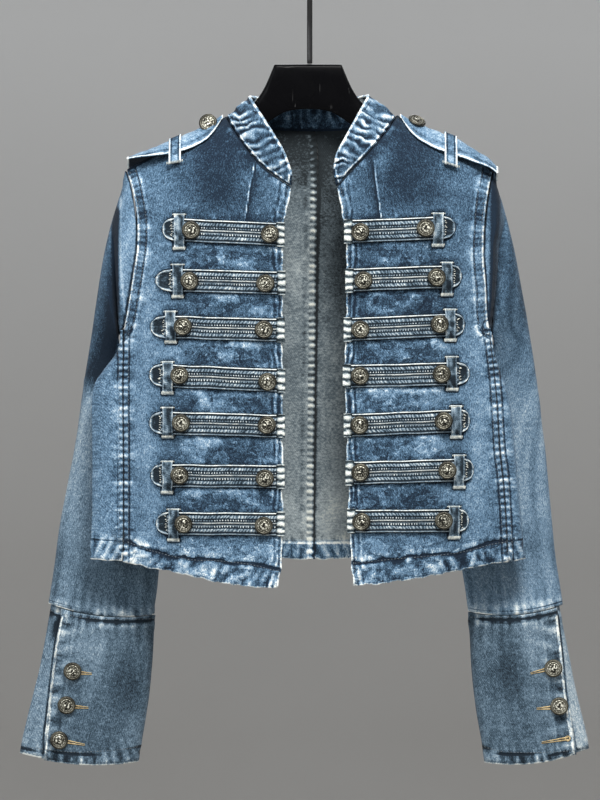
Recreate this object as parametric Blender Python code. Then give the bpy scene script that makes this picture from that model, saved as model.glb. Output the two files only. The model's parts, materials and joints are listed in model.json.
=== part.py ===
"""A cropped denim jacket with frogged fronts, hung open on a plain hanger.

Sizes in the tables are millimetres. X runs to the wearer's left, Y to the back and Z up.
The origin is the inside of the hook's crown, where a rail carries the hanger.
"""

import math

import bmesh
import bpy
from mathutils import Matrix, Vector
from mathutils.bvhtree import BVHTree

MM = 0.001

# Cloth
CLOTH_WALL = 1.6
COLLAR_WALL = 2.4
CUFF_WALL = 2.2
SEAM_GAP = 0.5
SIDE_SEAM_GAP = 0.8
PIT_SEAM_GAP = 2.2
PIT_SEAM_RUN = 60.0
RIDGE_HALF = 1.9
RIDGE_FADE = 12.0
SLEEVE_HEAD_GAP = 1.3

# Grids: faces across and along each piece
FRONT_FACES = (10, 24)
BACK_FACES = (12, 17)
BACK_PANEL_FACES = 8
BACK_ARMHOLE_FACES = 7
SLEEVE_FACES = (18, 18)
CUFF_FACES = (20, 4)
COLLAR_FRONT_FACES = 8
COLLAR_BACK_FACES = 6
COLLAR_ROWS = 3

# Armhole and neck: shares of the way round where panels meet
SIDE_SEAM_SHARE = 0.44
UNDERARM_SHARE = 0.56
SHOULDER_NECK_SHARE = 0.5
FRONT_NECK_FACES = 4
BACK_NECK_FACES = 3
TOP_CROWDING = 1.25
BACK_TOP_CROWDING = 1.6

# Round of the shoulder, and the fullness of the body over the chest and back
SHOULDER_ROUND = 20.0
SHOULDER_DROP_SHARE = 0.1
FRONT_SETTLE = 5
BACK_SETTLE = 2
CHEST_FULLNESS = 7.0

# Frogging straps
STRAP_PITCH = 49.0
STRAP_PUFF = 1.4
STRAP_HALF_WIDTH = 11.4
STRAP_EDGE = 2.5
STRAP_VALLEY = 1.7
STRAP_BIND = 9.0
KEEPER_HALF_WIDTH = 5.8
KEEPER_RISE = 1.7
KEEPER_END = 1.9
CLOTH_UNDER_STRAP = 0.8
LEAST_UNDER_STRAP = 0.65

# Buttons
BUTTON_RADIUS = 8.8
BUTTON_SIDES = 8

# Hanger
HANGER_HALF_THICKNESS = 4.6
HANGER_UNDER_CLOTH = 3.8
HANGER_SHOULDER_SOFTNESS = 9.0
HANGER_NECK_Z = -100.0
HOOK_RADIUS = 3.0
HOOK_CROWN = 20.0
HOOK_X = 1.7

SIDES = {"right": -1, "left": 1}


class Table:
    """Rows of sizes. Each named column is read smoothly against the first one."""

    def __init__(self, columns, *rows):
        self.columns = columns.split()
        self.rows = sorted(rows)

    def at(self, where, name):
        column = self.columns.index(name)
        keys = [row[0] for row in self.rows]
        values = [row[column] for row in self.rows]
        last = len(keys) - 1
        where = min(max(where, keys[0]), keys[last])
        step = next((i for i in range(last) if where <= keys[i + 1]), last - 1)
        slopes = [(values[i + 1] - values[i]) / (keys[i + 1] - keys[i]) for i in range(last)]

        def tangent(i):
            before = slopes[max(i - 1, 0)]
            after = slopes[min(i, last - 1)]
            if before * after <= 0:
                return 0.0
            return 2 * before * after / (before + after)

        run = keys[step + 1] - keys[step]
        t = (where - keys[step]) / run
        start = values[step] * (1 + 2 * t) * (1 - t) ** 2 + tangent(step) * run * t * (1 - t) ** 2
        end = values[step + 1] * t * t * (3 - 2 * t) - tangent(step + 1) * run * t * t * (1 - t)
        return start + end

    def point(self, where, names=("across", "depth", "height")):
        return Vector([self.at(where, name) for name in names])


# The neck seam, from the centre front round the shoulder to the centre back
NECK = {
    "right": Table(
        "around across depth height",
        (0.00, -17, -47, -224),
        (0.14, -36, -45, -212),
        (0.27, -53.3, -38, -197),
        (0.40, -69, -21, -176),
        (0.50, -82, 0, -154),
        (0.62, -75, 17, -159),
        (0.78, -45, 28, -166),
        (1.00, 6, 32, -168),
    ),
    "left": Table(
        "around across depth height",
        (0.00, 29, -47, -224),
        (0.14, 44, -45, -207),
        (0.27, 63, -38, -188),
        (0.40, 77, -20, -170),
        (0.50, 89, 0, -153),
        (0.62, 82, 17, -159),
        (0.78, 55, 28, -166),
        (1.00, 6, 32, -168),
    ),
}

# The collar's free edge, against the same way round
COLLAR_TOP = {
    "right": Table(
        "around across depth height",
        (0.00, -15.5, -53, -211),
        (0.14, -23, -53, -190),
        (0.27, -35, -46, -170),
        (0.40, -48, -30, -149),
        (0.50, -59, -6, -132),
        (0.62, -57, 14, -131),
        (0.78, -38, 27, -133),
        (1.00, 3, 34, -134),
    ),
    "left": Table(
        "around across depth height",
        (0.00, 25, -53, -211),
        (0.14, 27, -53, -194),
        (0.27, 37, -46, -174),
        (0.40, 49, -30, -152),
        (0.50, 61, -6, -130),
        (0.62, 59, 14, -130),
        (0.78, 41, 27, -133),
        (1.00, 3, 34, -134),
    ),
}

# The shoulder line, against the share of its length from neck to tip
SHOULDER = {
    "right": Table("share across height", (0, -82, -154), (0.5, -131, -180), (1, -181, -207)),
    "left": Table(
        "share across height",
        (0, 89, -153),
        (0.3, 116, -166),
        (0.6, 143, -177),
        (0.85, 170, -193),
        (1, 184, -208),
    ),
}

# The armhole, from the shoulder tip down the front, under the arm and up the back
ARMHOLE = {
    "right": Table(
        "around across depth height",
        (0.00, -181, 0, -207),
        (0.05, -176.5, -13, -221),
        (0.10, -172.5, -18.5, -238),
        (0.16, -170, -21, -258),
        (0.22, -170, -22, -280),
        (0.28, -172.5, -22, -300),
        (0.34, -176.5, -21, -324),
        (0.40, -181, -18, -350),
        (0.44, -184, -15, -364),
        (0.50, -186, 0, -368),
        (0.56, -180, 17, -357),
        (0.62, -177.5, 22, -340),
        (0.68, -175, 24, -316),
        (0.76, -173, 25, -285),
        (0.84, -172, 23, -255),
        (0.92, -174, 16, -229),
        (1.00, -181, 0, -207),
    ),
    "left": Table(
        "around across depth height",
        (0.00, 184, 0, -208),
        (0.05, 181, -13, -222),
        (0.10, 178, -18.5, -239),
        (0.16, 176, -21, -259),
        (0.22, 175, -22, -281),
        (0.28, 175.5, -22, -301),
        (0.34, 177.5, -21, -324),
        (0.40, 178.5, -18, -349),
        (0.44, 179.5, -15, -362),
        (0.50, 181.5, 0, -366),
        (0.56, 177, 17, -356),
        (0.62, 175, 22, -340),
        (0.68, 174, 24, -316),
        (0.76, 173, 25, -285),
        (0.84, 173, 23, -255),
        (0.92, 176, 16, -229),
        (1.00, 184, 0, -208),
    ),
}

# Centre-front edges, without the scallops that the straps pull into them
CENTRE_FRONT = {
    "right": Table(
        "height across depth",
        (-224, -17, -47),
        (-240, -18.5, -47),
        (-259, -23, -46),
        (-300, -23.5, -45),
        (-560, -23.5, -47),
        (-600, -25, -49),
        (-622, -29, -51),
    ),
    "left": Table(
        "height across depth",
        (-224, 29, -47),
        (-240, 31.5, -47),
        (-258, 33.5, -46),
        (-284, 36.5, -45),
        (-330, 36.8, -45),
        (-395, 34.5, -45),
        (-456, 36, -46),
        (-516, 38, -47),
        (-576, 40, -49),
        (-620, 44, -51),
    ),
}
CENTRE_FRONT_SCALLOP = 0.9
FIRST_STRAP_HEIGHT = -270.0

# The front hems, from the centre front to the side seam
FRONT_HEM = {
    "right": Table(
        "share across depth height",
        (0.00, -29, -51, -622),
        (0.06, -36, -51, -624),
        (0.32, -80, -50, -619),
        (0.52, -110, -46, -613),
        (0.76, -148.5, -35, -604.5),
        (1.00, -184.5, -17, -597),
    ),
    "left": Table(
        "share across depth height",
        (0.00, 44, -51, -620),
        (0.08, 56, -51, -619.5),
        (0.33, 95, -49, -616),
        (0.70, 154, -36, -605),
        (1.00, 199.5, -17, -597),
    ),
}

# Below the arm: the side seam, the outline beside it, and where the flat back ends
SIDE = {
    "right": Table(
        "height seam seam_depth outline back_end back_depth",
        (-357, -184, -15, -186, -180, 16),
        (-374, -184, -15, -186.5, -179, 15),
        (-388, -184, -16, -189, -180, 14),
        (-403, -184.5, -16, -202, -186, 13),
        (-413, -184.5, -16, -214, -195, 13),
        (-426, -184.5, -17, -217, -200, 13),
        (-515, -184, -17, -216, -200, 14),
        (-565, -184, -17, -217, -201, 14),
        (-597, -184.5, -17, -218.5, -202, 14),
    ),
    "left": Table(
        "height seam seam_depth outline back_end back_depth",
        (-356, 179.5, -15, 181, 177, 16),
        (-374, 181.7, -15, 183.5, 176, 15),
        (-391, 183.6, -16, 186.5, 177, 14),
        (-405, 185.2, -16, 192, 180, 13),
        (-421, 187, -16, 199, 184, 13),
        (-440, 189, -17, 203.5, 188, 13),
        (-485, 191, -17, 208, 192, 14),
        (-515, 195, -17, 211, 195, 14),
        (-577, 199, -17, 217, 200, 14),
        (-597, 199.5, -17, 218.6, 202, 14),
    ),
}

# The centre-back seam
CENTRE_BACK = Table(
    "height across depth",
    (-168, 6, 32),
    (-190, 10, 33),
    (-357, 8.5, 36),
    (-480, 7, 35),
    (-596, 6, 33),
)
BACK_HEM_HEIGHT = -596.0
BACK_HEM_SIDE_HEIGHT = -592.5
BACK_ROUND = 2.4

# Soft folds of the back panels: where across (share of the half), depth and width
BACK_FOLDS = Table("share deep wide", (0.22, 2.0, 0.10), (0.50, -2.4, 0.12), (0.78, 2.2, 0.09))

# Sleeves: each ring's outer and inner ends, its front and back and its inward bow
SLEEVE = {
    "right": Table(
        "ring outer_x outer_z inner_x inner_z front back bow sag",
        (0, -181, -207, -186, -368, -22, 25, 14, 0),
        (1, -188, -228, -187.5, -369.5, -24, 28, -3, 0),
        (2, -196, -254, -189, -371.5, -3, 31, 0, 0),
        (3, -205, -292, -189.5, -374.5, -12, 34, 0, 0),
        (4, -211, -328, -188.5, -380, -5, 40, 0, 0),
        (5, -216.5, -364, -183, -389, 8, 47, 0, 0),
        (6, -221, -393, -172, -404, 18, 54, 0, 0),
        (7, -227, -427, -156, -432, 25, 60, 0, 0),
        (8, -234, -468, -141, -470, 28, 64, 0, 0),
        (9, -241, -513, -137, -514, 29, 65, 0, 0),
        (10, -249, -556, -141, -557, 28, 64, 0, 1),
        (11, -255, -598, -148, -602, 27, 62, 0, 3),
        (12, -261, -640, -153, -651, 25, 61, 0, 7),
    ),
    "left": Table(
        "ring outer_x outer_z inner_x inner_z front back bow sag",
        (0, 184, -208, 181.5, -366, -22, 25, -10, 0),
        (1, 191, -226, 183.5, -368, -24, 28, 3, 0),
        (2, 198, -248, 185, -370, -2, 31, 0, 0),
        (3, 206, -280, 186.5, -373, -12, 34, 0, 0),
        (4, 214, -322, 186.5, -379, -5, 40, 0, 0),
        (5, 221, -358, 182, -389, 8, 47, 0, 0),
        (6, 226.5, -392, 172, -404, 18, 54, 0, 0),
        (7, 232, -429, 157, -432, 25, 60, 0, 0),
        (8, 238, -471, 144, -472, 28, 64, 0, 0),
        (9, 243, -516, 141, -516, 29, 65, 0, 0),
        (10, 247.5, -560, 146, -560, 28, 64, 0, 1),
        (11, 251, -602, 154, -604, 27, 62, 0, 3),
        (12, 256.5, -641, 160.5, -648, 25, 61, 0, 7),
    ),
}
SLEEVE_RINGS = 12
ARMHOLE_FADE_RINGS = 2.4
SLEEVE_FLATNESS = 0.8

# Cuffs: each ring's ends, front, back and sag, and how far round the overlap's free edge lies
CUFF = {
    "right": Table(
        "down outer_x outer_z inner_x inner_z front back sag edge",
        (0.0, -262, -640.7, -152.5, -651.7, 24, 62, 7, 0.118),
        (0.5, -276, -715, -156.5, -722, 23, 63, 6, 0.135),
        (1.0, -290, -788, -169, -796, 22, 64, 7, 0.152),
    ),
    "left": Table(
        "down outer_x outer_z inner_x inner_z front back sag edge",
        (0.0, 257.5, -641.7, 160, -648.7, 24, 62, 7, 0.090),
        (0.5, 271, -712, 164.5, -722, 23, 63, 6, 0.108),
        (1.0, 283, -784, 176.5, -797, 22, 64, 7, 0.122),
    ),
}
CUFF_UNDERLAP = 0.11
CUFF_UNDERLAP_INSET = 5.5

# Straps, top to bottom: heights of the band at both ends, the places of what it carries
STRAP_COLUMNS = (
    "row inner_z outer_z tip outer_button outer_button_z "
    "inner_button inner_button_z keeper keeper_z keeper_half"
)
STRAPS = {
    "right": (
        (1, -271.8, -265.5, -145.0, -116.5, -267.0, -38.0, -271.0, -128.5, -268.5, 18.5),
        (2, -319.5, -316.5, -152.0, -118.0, -317.6, -42.5, -320.0, -130.0, -317.5, 17.5),
        (3, -366.5, -363.0, -157.0, -124.6, -363.0, -44.0, -366.0, -136.7, -363.5, 16.8),
        (4, -416.8, -411.0, -158.0, -128.0, -411.5, -40.4, -418.0, -140.0, -414.0, 17.0),
        (5, -462.0, -458.5, -158.0, -126.5, -459.0, -41.0, -461.0, -140.0, -458.5, 16.0),
        (6, -512.5, -511.0, -156.5, -128.0, -511.0, -43.0, -514.0, -140.0, -513.0, 17.0),
        (7, -559.5, -559.0, -151.4, -124.0, -559.5, -44.0, -561.0, -134.0, -560.5, 16.8),
    ),
    "left": (
        (1, -268.5, -264.0, 146.7, 117.0, -265.0, 52.0, -269.0, 129.7, -266.5, 17.5),
        (2, -317.0, -312.5, 153.0, 128.0, -314.0, 55.0, -317.0, 138.5, -315.5, 17.5),
        (3, -366.0, -360.5, 156.0, 131.0, -360.5, 52.0, -366.0, 141.5, -361.5, 16.8),
        (4, -412.5, -409.5, 161.0, 133.0, -410.0, 51.6, -412.0, 143.5, -409.7, 17.8),
        (5, -461.5, -456.5, 161.0, 135.0, -457.0, 51.0, -461.0, 148.0, -458.0, 17.0),
        (6, -509.0, -505.5, 165.0, 138.7, -506.0, 52.0, -508.0, 150.5, -507.5, 17.5),
        (7, -556.5, -556.0, 160.0, 135.0, -556.0, 53.0, -557.0, 145.5, -558.0, 17.0),
    ),
}

# Epaulettes: the ridge over the shoulder, how far the edges drop, and half the width
EPAULETTE = {
    "right": Table(
        "share across height drop half",
        (0.00, -181, -193.5, 1.5, 15),
        (0.08, -173, -190.5, 2.5, 19),
        (0.40, -140, -177.8, 12, 20),
        (0.62, -118, -168.5, 16, 20),
        (0.80, -101, -160.5, 15, 15),
        (0.92, -91, -154.5, 9, 9),
        (1.00, -85, -151.0, 1, 3),
    ),
    "left": Table(
        "share across height drop half",
        (0.00, 190, -204, 6, 15),
        (0.08, 183, -195.5, 8, 19),
        (0.40, 149, -174.5, 17, 20),
        (0.62, 126, -166.0, 18, 20),
        (0.80, 108, -158.5, 15, 15),
        (0.92, 98, -153.5, 9, 9),
        (1.00, 92, -150.2, 1, 3),
    ),
}
EPAULETTE_WALL = 2.4
EPAULETTE_OVER_CLOTH = 0.9
EPAULETTE_BACK_DROP = 0.85
EPAULETTE_LOOP = {"right": 0.47, "left": 0.46}
EPAULETTE_LOOP_HALF = 0.05
EPAULETTE_LOOP_RISE = 1.5
EPAULETTE_BUTTON = {"right": 0.795, "left": 0.80}

# Cuff buttons: across and height
CUFF_BUTTONS = {
    "right": ((-236.0, -708.0), (-242.0, -742.0), (-249.5, -777.0)),
    "left": ((246.0, -705.0), (252.0, -743.0)),
}

# The hanger's shape: half its width below the neck, and both edges of its shoulders
HANGER = Table(
    "across top bottom",
    (0, -100, -144.5),
    (20, -100, -146),
    (30, -100, -151.5),
    (33.6, -100.2, -154),
    (42, -121, -160),
    (50, -134.5, -165),
    (66, -152, -173),
    (84, -165, -183),
)
HANGER_NECK_STATIONS = (0, 20, 30, 33.6, 42, 50, 66, 84)
HANGER_ARM = Table("across deep", (95, 19), (120, 20), (150, 18), (166, 15), (173, 8))
HANGER_ARM_STATIONS = (98, 112, 128, 144, 158, 168, 173)


def material(name, colour, roughness, metallic=0.0):
    made = bpy.data.materials.new(name)
    made.use_nodes = True
    shader = made.node_tree.nodes["Principled BSDF"]
    shader.inputs["Base Color"].default_value = (*colour, 1)
    shader.inputs["Roughness"].default_value = roughness
    shader.inputs["Metallic"].default_value = metallic
    made.diffuse_color = (*colour, 1)
    return made


def add_object(name, mesh, colour, roughness, metallic=0.0):
    thing = bpy.data.objects.new(name, mesh)
    bpy.context.scene.collection.objects.link(thing)
    mesh.materials.clear()
    mesh.materials.append(material(name, colour, roughness, metallic))
    return thing


def finish_mesh(name, shape, smooth_below=50):
    mesh = bpy.data.meshes.new(name)
    shape.to_mesh(mesh)
    shape.free()
    mesh.shade_smooth()
    mesh.set_sharp_from_angle(angle=math.radians(smooth_below))
    return mesh


def grid_shape(faces, place, closed=False, keep=None):
    """A sheet whose corners are placed, in millimetres, by a function of two shares."""
    shape = bmesh.new()
    bmesh.ops.create_grid(shape, x_segments=faces[0], y_segments=faces[1], size=0.5)
    shares = {corner: (corner.co.x + 0.5, 0.5 - corner.co.y) for corner in shape.verts}
    if keep:
        unwanted = []
        for face in shape.faces:
            across = sum(shares[corner][0] for corner in face.verts) / len(face.verts)
            along = sum(shares[corner][1] for corner in face.verts) / len(face.verts)
            if not keep(across, along):
                unwanted.append(face)
        bmesh.ops.delete(shape, geom=unwanted, context="FACES")
    for corner in shape.verts:
        corner.co = Vector(place(*shares[corner])) * MM
    if closed:
        bmesh.ops.remove_doubles(shape, verts=shape.verts, dist=1e-7)
    return shape


def face_away(shape, inside):
    """Turns a sheet's faces so that they look away from the points that inside() gives."""
    outward = 0.0
    for face in shape.faces:
        centre = face.calc_center_median()
        outward += face.normal.dot(centre - inside(centre)) * face.calc_area()
    if outward < 0:
        bmesh.ops.reverse_faces(shape, faces=shape.faces)


def add_cloth(name, shape, inside, wall, colour):
    """A wall of cloth that lies inwards of its sheet."""
    shape.normal_update()
    face_away(shape, inside)
    mesh = finish_mesh(name, shape)
    thing = add_object(name, mesh, colour, 0.85)
    thickness = thing.modifiers.new("Wall", "SOLIDIFY")
    thickness.thickness = wall * MM
    thickness.offset = -1
    thickness.use_even_offset = True
    thickness.use_quality_normals = True
    return thing


def body_axis(centre):
    return Vector((0, 0.006, centre.z))


def coons(u, v, start, end, top, bottom, settle):
    """A patch between four edges: start and end run along v, top and bottom along u.

    The depth forgets the top edge sooner than the outline does, by the power that settle gives.
    """
    point = start(v) * (1 - u) + end(v) * u
    from_top = top(u) - (start(0) * (1 - u) + end(0) * u)
    from_bottom = bottom(u) - (start(1) * (1 - u) + end(1) * u)
    falls = Vector((1 - v, (1 - v) ** settle, 1 - v))
    return point + from_top * falls + from_bottom * v


def shoulder_round(u, v, top_depth):
    """How quickly the cloth falls away from the shoulder line, beside the armhole's own fall."""
    reach = min(v / SHOULDER_DROP_SHARE, 1)
    return max(0, SHOULDER_ROUND - abs(top_depth)) * (1 - u) * math.sqrt(1 - (1 - reach) ** 2) * (1 - v)


def top_edge(side, u, front):
    """The neck seam and then the shoulder line, from the centre to the shoulder tip."""
    neck = FRONT_NECK_FACES / FRONT_FACES[0] if front else BACK_NECK_FACES / BACK_PANEL_FACES
    if u <= neck + 1e-6:
        way = SHOULDER_NECK_SHARE * u / neck
        return NECK[side].point(way if front else 1 - way)
    share = (u - neck) / (1 - neck)
    return Vector((SHOULDER[side].at(share, "across"), 0, SHOULDER[side].at(share, "height")))


def off_ridge(point, way):
    """Moves cloth that meets at the shoulder seam apart by its own wall."""
    point.y += way * RIDGE_HALF * max(0, 1 - abs(point.y) / RIDGE_FADE)
    return point


def centre_front(side, height):
    """The front edge, drawn in a little at each strap."""
    scallop = 0.0
    if -585 < height < -255:
        turns = (height - FIRST_STRAP_HEIGHT) / STRAP_PITCH
        scallop = CENTRE_FRONT_SCALLOP * (1 + math.cos(2 * math.pi * turns))
    across = CENTRE_FRONT[side].at(height, "across") + SIDES[side] * scallop
    return Vector((across, CENTRE_FRONT[side].at(height, "depth"), height))


def front_point(side, u, v):
    armhole_share = 0.4
    v = v ** TOP_CROWDING

    def edge(v):
        top = CENTRE_FRONT[side].rows[-1][0]
        hem = CENTRE_FRONT[side].rows[0][0]
        return centre_front(side, top + (hem - top) * v)

    def seam(v):
        if v <= armhole_share:
            return ARMHOLE[side].point(SIDE_SEAM_SHARE * v / armhole_share)
        start = ARMHOLE[side].point(SIDE_SEAM_SHARE)
        hem = FRONT_HEM[side].point(1)
        share = (v - armhole_share) / (1 - armhole_share)
        height = start.z + (hem.z - start.z) * share
        return Vector((SIDE[side].at(height, "seam"), SIDE[side].at(height, "seam_depth"), height))

    def top(u):
        return top_edge(side, u, True)

    def hem(u):
        return FRONT_HEM[side].point(u)

    point = coons(u, v, edge, seam, top, hem, FRONT_SETTLE)
    point.y -= shoulder_round(u, v, top(u).y)
    point.y -= CHEST_FULLNESS * math.sin(math.pi * u) ** 1.5 * math.sqrt(math.sin(math.pi * min(v, 0.999)))
    between = math.sin(math.pi * (point.z - FIRST_STRAP_HEIGHT) / STRAP_PITCH) ** 2
    if -590 < point.z < -262:
        point.y -= STRAP_PUFF * between * math.sin(math.pi * min(1, u * 1.1)) ** 2
    return off_ridge(point, -1)


def back_point(side, u, v):
    panel_share = BACK_PANEL_FACES / BACK_FACES[0]
    armhole_rows = BACK_ARMHOLE_FACES / BACK_FACES[1]
    pit = ARMHOLE[side].point(UNDERARM_SHARE)

    def fold(share, v):
        depth = 0.0
        for middle, deep, wide in BACK_FOLDS.rows:
            depth += deep * math.exp(-(((share - middle) / wide) ** 2))
        return depth * math.sin(math.pi * min(1, 0.15 + v)) * SIDES[side]

    def panel(share, height):
        start_x = CENTRE_BACK.at(height, "across")
        start_y = CENTRE_BACK.at(height, "depth")
        end_x = SIDE[side].at(height, "back_end")
        end_y = SIDE[side].at(height, "back_depth")
        bend = share ** BACK_ROUND
        return Vector((start_x + (end_x - start_x) * share, start_y + (end_y - start_y) * bend, height))

    if v <= armhole_rows + 1e-6:
        down = min(v / armhole_rows, 1) ** BACK_TOP_CROWDING
        if u > panel_share + 1e-6:
            beyond = (u - panel_share) / (1 - panel_share)
            point = ARMHOLE[side].point(UNDERARM_SHARE + (SIDE_SEAM_SHARE - UNDERARM_SHARE) * beyond)
            point.x += SIDES[side] * PIT_SEAM_GAP * beyond ** 2
            point.z -= PIT_SEAM_GAP * beyond ** 2
            return point
        share = min(u / panel_share, 1)

        def centre(t):
            height = CENTRE_BACK.rows[-1][0]
            height += (pit.z - height) * t
            return Vector((CENTRE_BACK.at(height, "across"), CENTRE_BACK.at(height, "depth"), height))

        def armhole(t):
            return ARMHOLE[side].point(1 - (1 - UNDERARM_SHARE) * t)

        def top(t):
            return top_edge(side, t, False)

        def bottom(t):
            return panel(t, pit.z) if t < 1 else pit

        point = coons(share, down, centre, armhole, top, bottom, BACK_SETTLE)
        point.y += shoulder_round(share, down * 0.4, top(share).y) * (1 - down)
        point.y += fold(share, v) * math.sin(math.pi * share) * down
        return off_ridge(point, 1)
    down = (v - armhole_rows) / (1 - armhole_rows)
    down = down ** 1.4
    hem = BACK_HEM_HEIGHT
    if u <= panel_share + 1e-6:
        share = u / panel_share
        hem += (BACK_HEM_SIDE_HEIGHT - hem) * share
        height = pit.z + (hem - pit.z) * down
        point = panel(share, height)
        point.y += fold(share, v) * math.sin(math.pi * share)
        return point
    beyond = (u - panel_share) / (1 - panel_share)
    start = ARMHOLE[side].point(UNDERARM_SHARE + (SIDE_SEAM_SHARE - UNDERARM_SHARE) * beyond)
    hem = BACK_HEM_SIDE_HEIGHT + (FRONT_HEM[side].at(1, "height") - BACK_HEM_SIDE_HEIGHT) * beyond
    height = start.z + (hem - start.z) * down
    angle = math.pi * beyond
    turn = (1 - math.cos(angle)) / 2
    row = SIDE[side]
    gap = SIDE_SEAM_GAP + (PIT_SEAM_GAP - SIDE_SEAM_GAP) * max(0, 1 - (pit.z - height) / PIT_SEAM_RUN)
    seam_x = row.at(height, "seam") + SIDES[side] * gap
    line_x = row.at(height, "back_end") + (seam_x - row.at(height, "back_end")) * turn
    back_depth = row.at(height, "back_depth")
    depth = back_depth + (row.at(height, "seam_depth") - back_depth) * turn
    across = line_x + (row.at(height, "outline") - line_x) * math.sin(angle)
    if beyond > 0.999:
        across = seam_x
    return Vector((across, depth, height))


def back_half(side, u, v):
    """One half of the back, its centre edge drawn off the seam."""
    point = back_point(side, u, v)
    if u < 1e-6:
        point.x += SIDES[side] * SEAM_GAP / 2
    return point


def ring_point(row_at, around, flatness):
    """A point of a flattened ring: 0 is its outer end, a half its inner end."""
    turn = (1 - math.cos(2 * math.pi * around)) / 2
    side_way = math.sin(2 * math.pi * around)
    bulge = math.copysign(abs(side_way) ** flatness, side_way)
    across = row_at("outer_x") + (row_at("inner_x") - row_at("outer_x")) * turn
    slant = (row_at("inner_z") - row_at("outer_z")) * turn
    height = row_at("outer_z") + slant - row_at("sag") * side_way ** 2
    depth = (row_at("front") + row_at("back")) / 2 - (row_at("back") - row_at("front")) / 2 * bulge
    return Vector((across, depth, height))


def sleeve_point(side, u, v):
    around = u % 1
    ring = v * SLEEVE_RINGS

    def general(ring):
        def row_at(name):
            return SLEEVE[side].at(ring, name)

        point = ring_point(row_at, around, SLEEVE_FLATNESS)
        point.x += row_at("bow") * math.sin(2 * math.pi * around) ** 2
        return point

    point = general(ring)
    if ring < ARMHOLE_FADE_RINGS:
        fade = (1 - ring / ARMHOLE_FADE_RINGS) ** 2
        point += (ARMHOLE[side].point(around) - general(0)) * fade
    head = SEAM_GAP + SLEEVE_HEAD_GAP * max(0, math.cos(2 * math.pi * around))
    point.x += SIDES[side] * head * max(0, 1 - ring)
    return point


def cuff_point(side, u, v):
    """The cuff is one band: u runs from its overlap's free edge round to the underlap's end."""
    def row_at(name):
        return CUFF[side].at(v, name)

    around = row_at("edge") + u * (1 + CUFF_UNDERLAP)
    point = ring_point(row_at, around, SLEEVE_FLATNESS)
    inset = min(max((around - 0.80) / 0.22, 0), 1)
    inset = CUFF_UNDERLAP_INSET * inset * inset * (3 - 2 * inset)
    middle_across = (row_at("outer_x") + row_at("inner_x")) / 2
    middle = Vector((middle_across, (row_at("front") + row_at("back")) / 2, point.z))
    inward = middle - point
    point.y += inward.y * inset / 20
    point.x += math.copysign(min(abs(inward.x), inset * 0.75), inward.x)
    return point


def neck_chord(side, around):
    """A point of the neck seam on the straight run between the panels' own corners."""
    run = SHOULDER_NECK_SHARE / (FRONT_NECK_FACES if around < SHOULDER_NECK_SHARE else BACK_NECK_FACES)
    start = SHOULDER_NECK_SHARE if around >= SHOULDER_NECK_SHARE else 0
    step = math.floor((around - start) / run + 1e-6)
    share = (around - start) / run - step
    first = NECK[side].point(start + step * run)
    second = NECK[side].point(min(start + (step + 1) * run, 1))
    return first + (second - first) * share


def collar_point(u, v):
    """u runs from the right front round the neck to the left front, v up from the seam."""
    half = COLLAR_FRONT_FACES + COLLAR_BACK_FACES
    place = u * 2 * half
    side = "right" if place <= half else "left"
    place = min(place, 2 * half - place)
    around = SHOULDER_NECK_SHARE * place / COLLAR_FRONT_FACES
    if place > COLLAR_FRONT_FACES:
        around = SHOULDER_NECK_SHARE * (1 + (place - COLLAR_FRONT_FACES) / COLLAR_BACK_FACES)
    seam = neck_chord(side, around)
    top = COLLAR_TOP[side].point(around)
    up = (top - seam).normalized()
    seam += up * (SEAM_GAP + 0.4)
    point = seam + (top - seam) * v
    middle = Vector((4, -6, point.z))
    outward = (point - middle).normalized()
    point += outward * 2.0 * math.sin(math.pi * v)
    return point


def turned(name, profile, sides):
    """A closed solid turned from (radius, height) points that start and end on the axis."""
    shape = bmesh.new()
    corners = [shape.verts.new((radius * MM, 0, height * MM)) for radius, height in profile]
    edges = [shape.edges.new(pair) for pair in zip(corners, corners[1:])]
    bmesh.ops.spin(
        shape,
        geom=corners + edges,
        cent=(0, 0, 0),
        axis=(0, 0, 1),
        angle=2 * math.pi,
        steps=sides,
        use_merge=True,
    )
    bmesh.ops.remove_doubles(shape, verts=shape.verts, dist=1e-6)
    bmesh.ops.recalc_face_normals(shape, faces=shape.faces)
    return finish_mesh(name, shape, 35)


def slab(name, faces, place):
    """A closed solid between an outer and an inner sheet of the same corners."""
    shape = grid_shape(faces, lambda u, v: place(u, v, True))
    under = grid_shape(faces, lambda u, v: place(u, v, False))
    mesh = bpy.data.meshes.new("under")
    under.to_mesh(mesh)
    under.free()
    shape.from_mesh(mesh)
    bpy.data.meshes.remove(mesh)
    bmesh.ops.bridge_loops(shape, edges=[edge for edge in shape.edges if edge.is_boundary])
    bmesh.ops.recalc_face_normals(shape, faces=shape.faces)
    return finish_mesh(name, shape, 30)


def button_mesh(name):
    """A domed head with a raised rim on a short shank."""
    profile = (
        (0, 0),
        (2.6, 0),
        (2.6, 2.2),
        (BUTTON_RADIUS - 0.7, 2.2),
        (BUTTON_RADIUS, 3.4),
        (BUTTON_RADIUS - 2.4, 5.4),
        (0, 6.6),
    )
    return turned(name, profile, BUTTON_SIDES)


class Skin:
    """The outer face of finished pieces, on which others are laid."""

    def __init__(self, *things):
        bpy.context.view_layer.update()
        graph = bpy.context.evaluated_depsgraph_get()
        joined = bmesh.new()
        for thing in things:
            mesh = thing.evaluated_get(graph).to_mesh()
            mesh.transform(thing.matrix_world)
            joined.from_mesh(mesh)
        self.tree = BVHTree.FromBMesh(joined)
        joined.free()

    def front(self, across, height, past_edge=8):
        """The depth of the face seen from the front; just past an edge, that of the edge."""
        for inset in range(past_edge):
            start = Vector(((across + math.copysign(inset, across)) * MM, -0.5, height * MM))
            hit = self.tree.ray_cast(start, Vector((0, 1, 0)))[0]
            if hit is not None:
                return hit.y / MM
        return None


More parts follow.
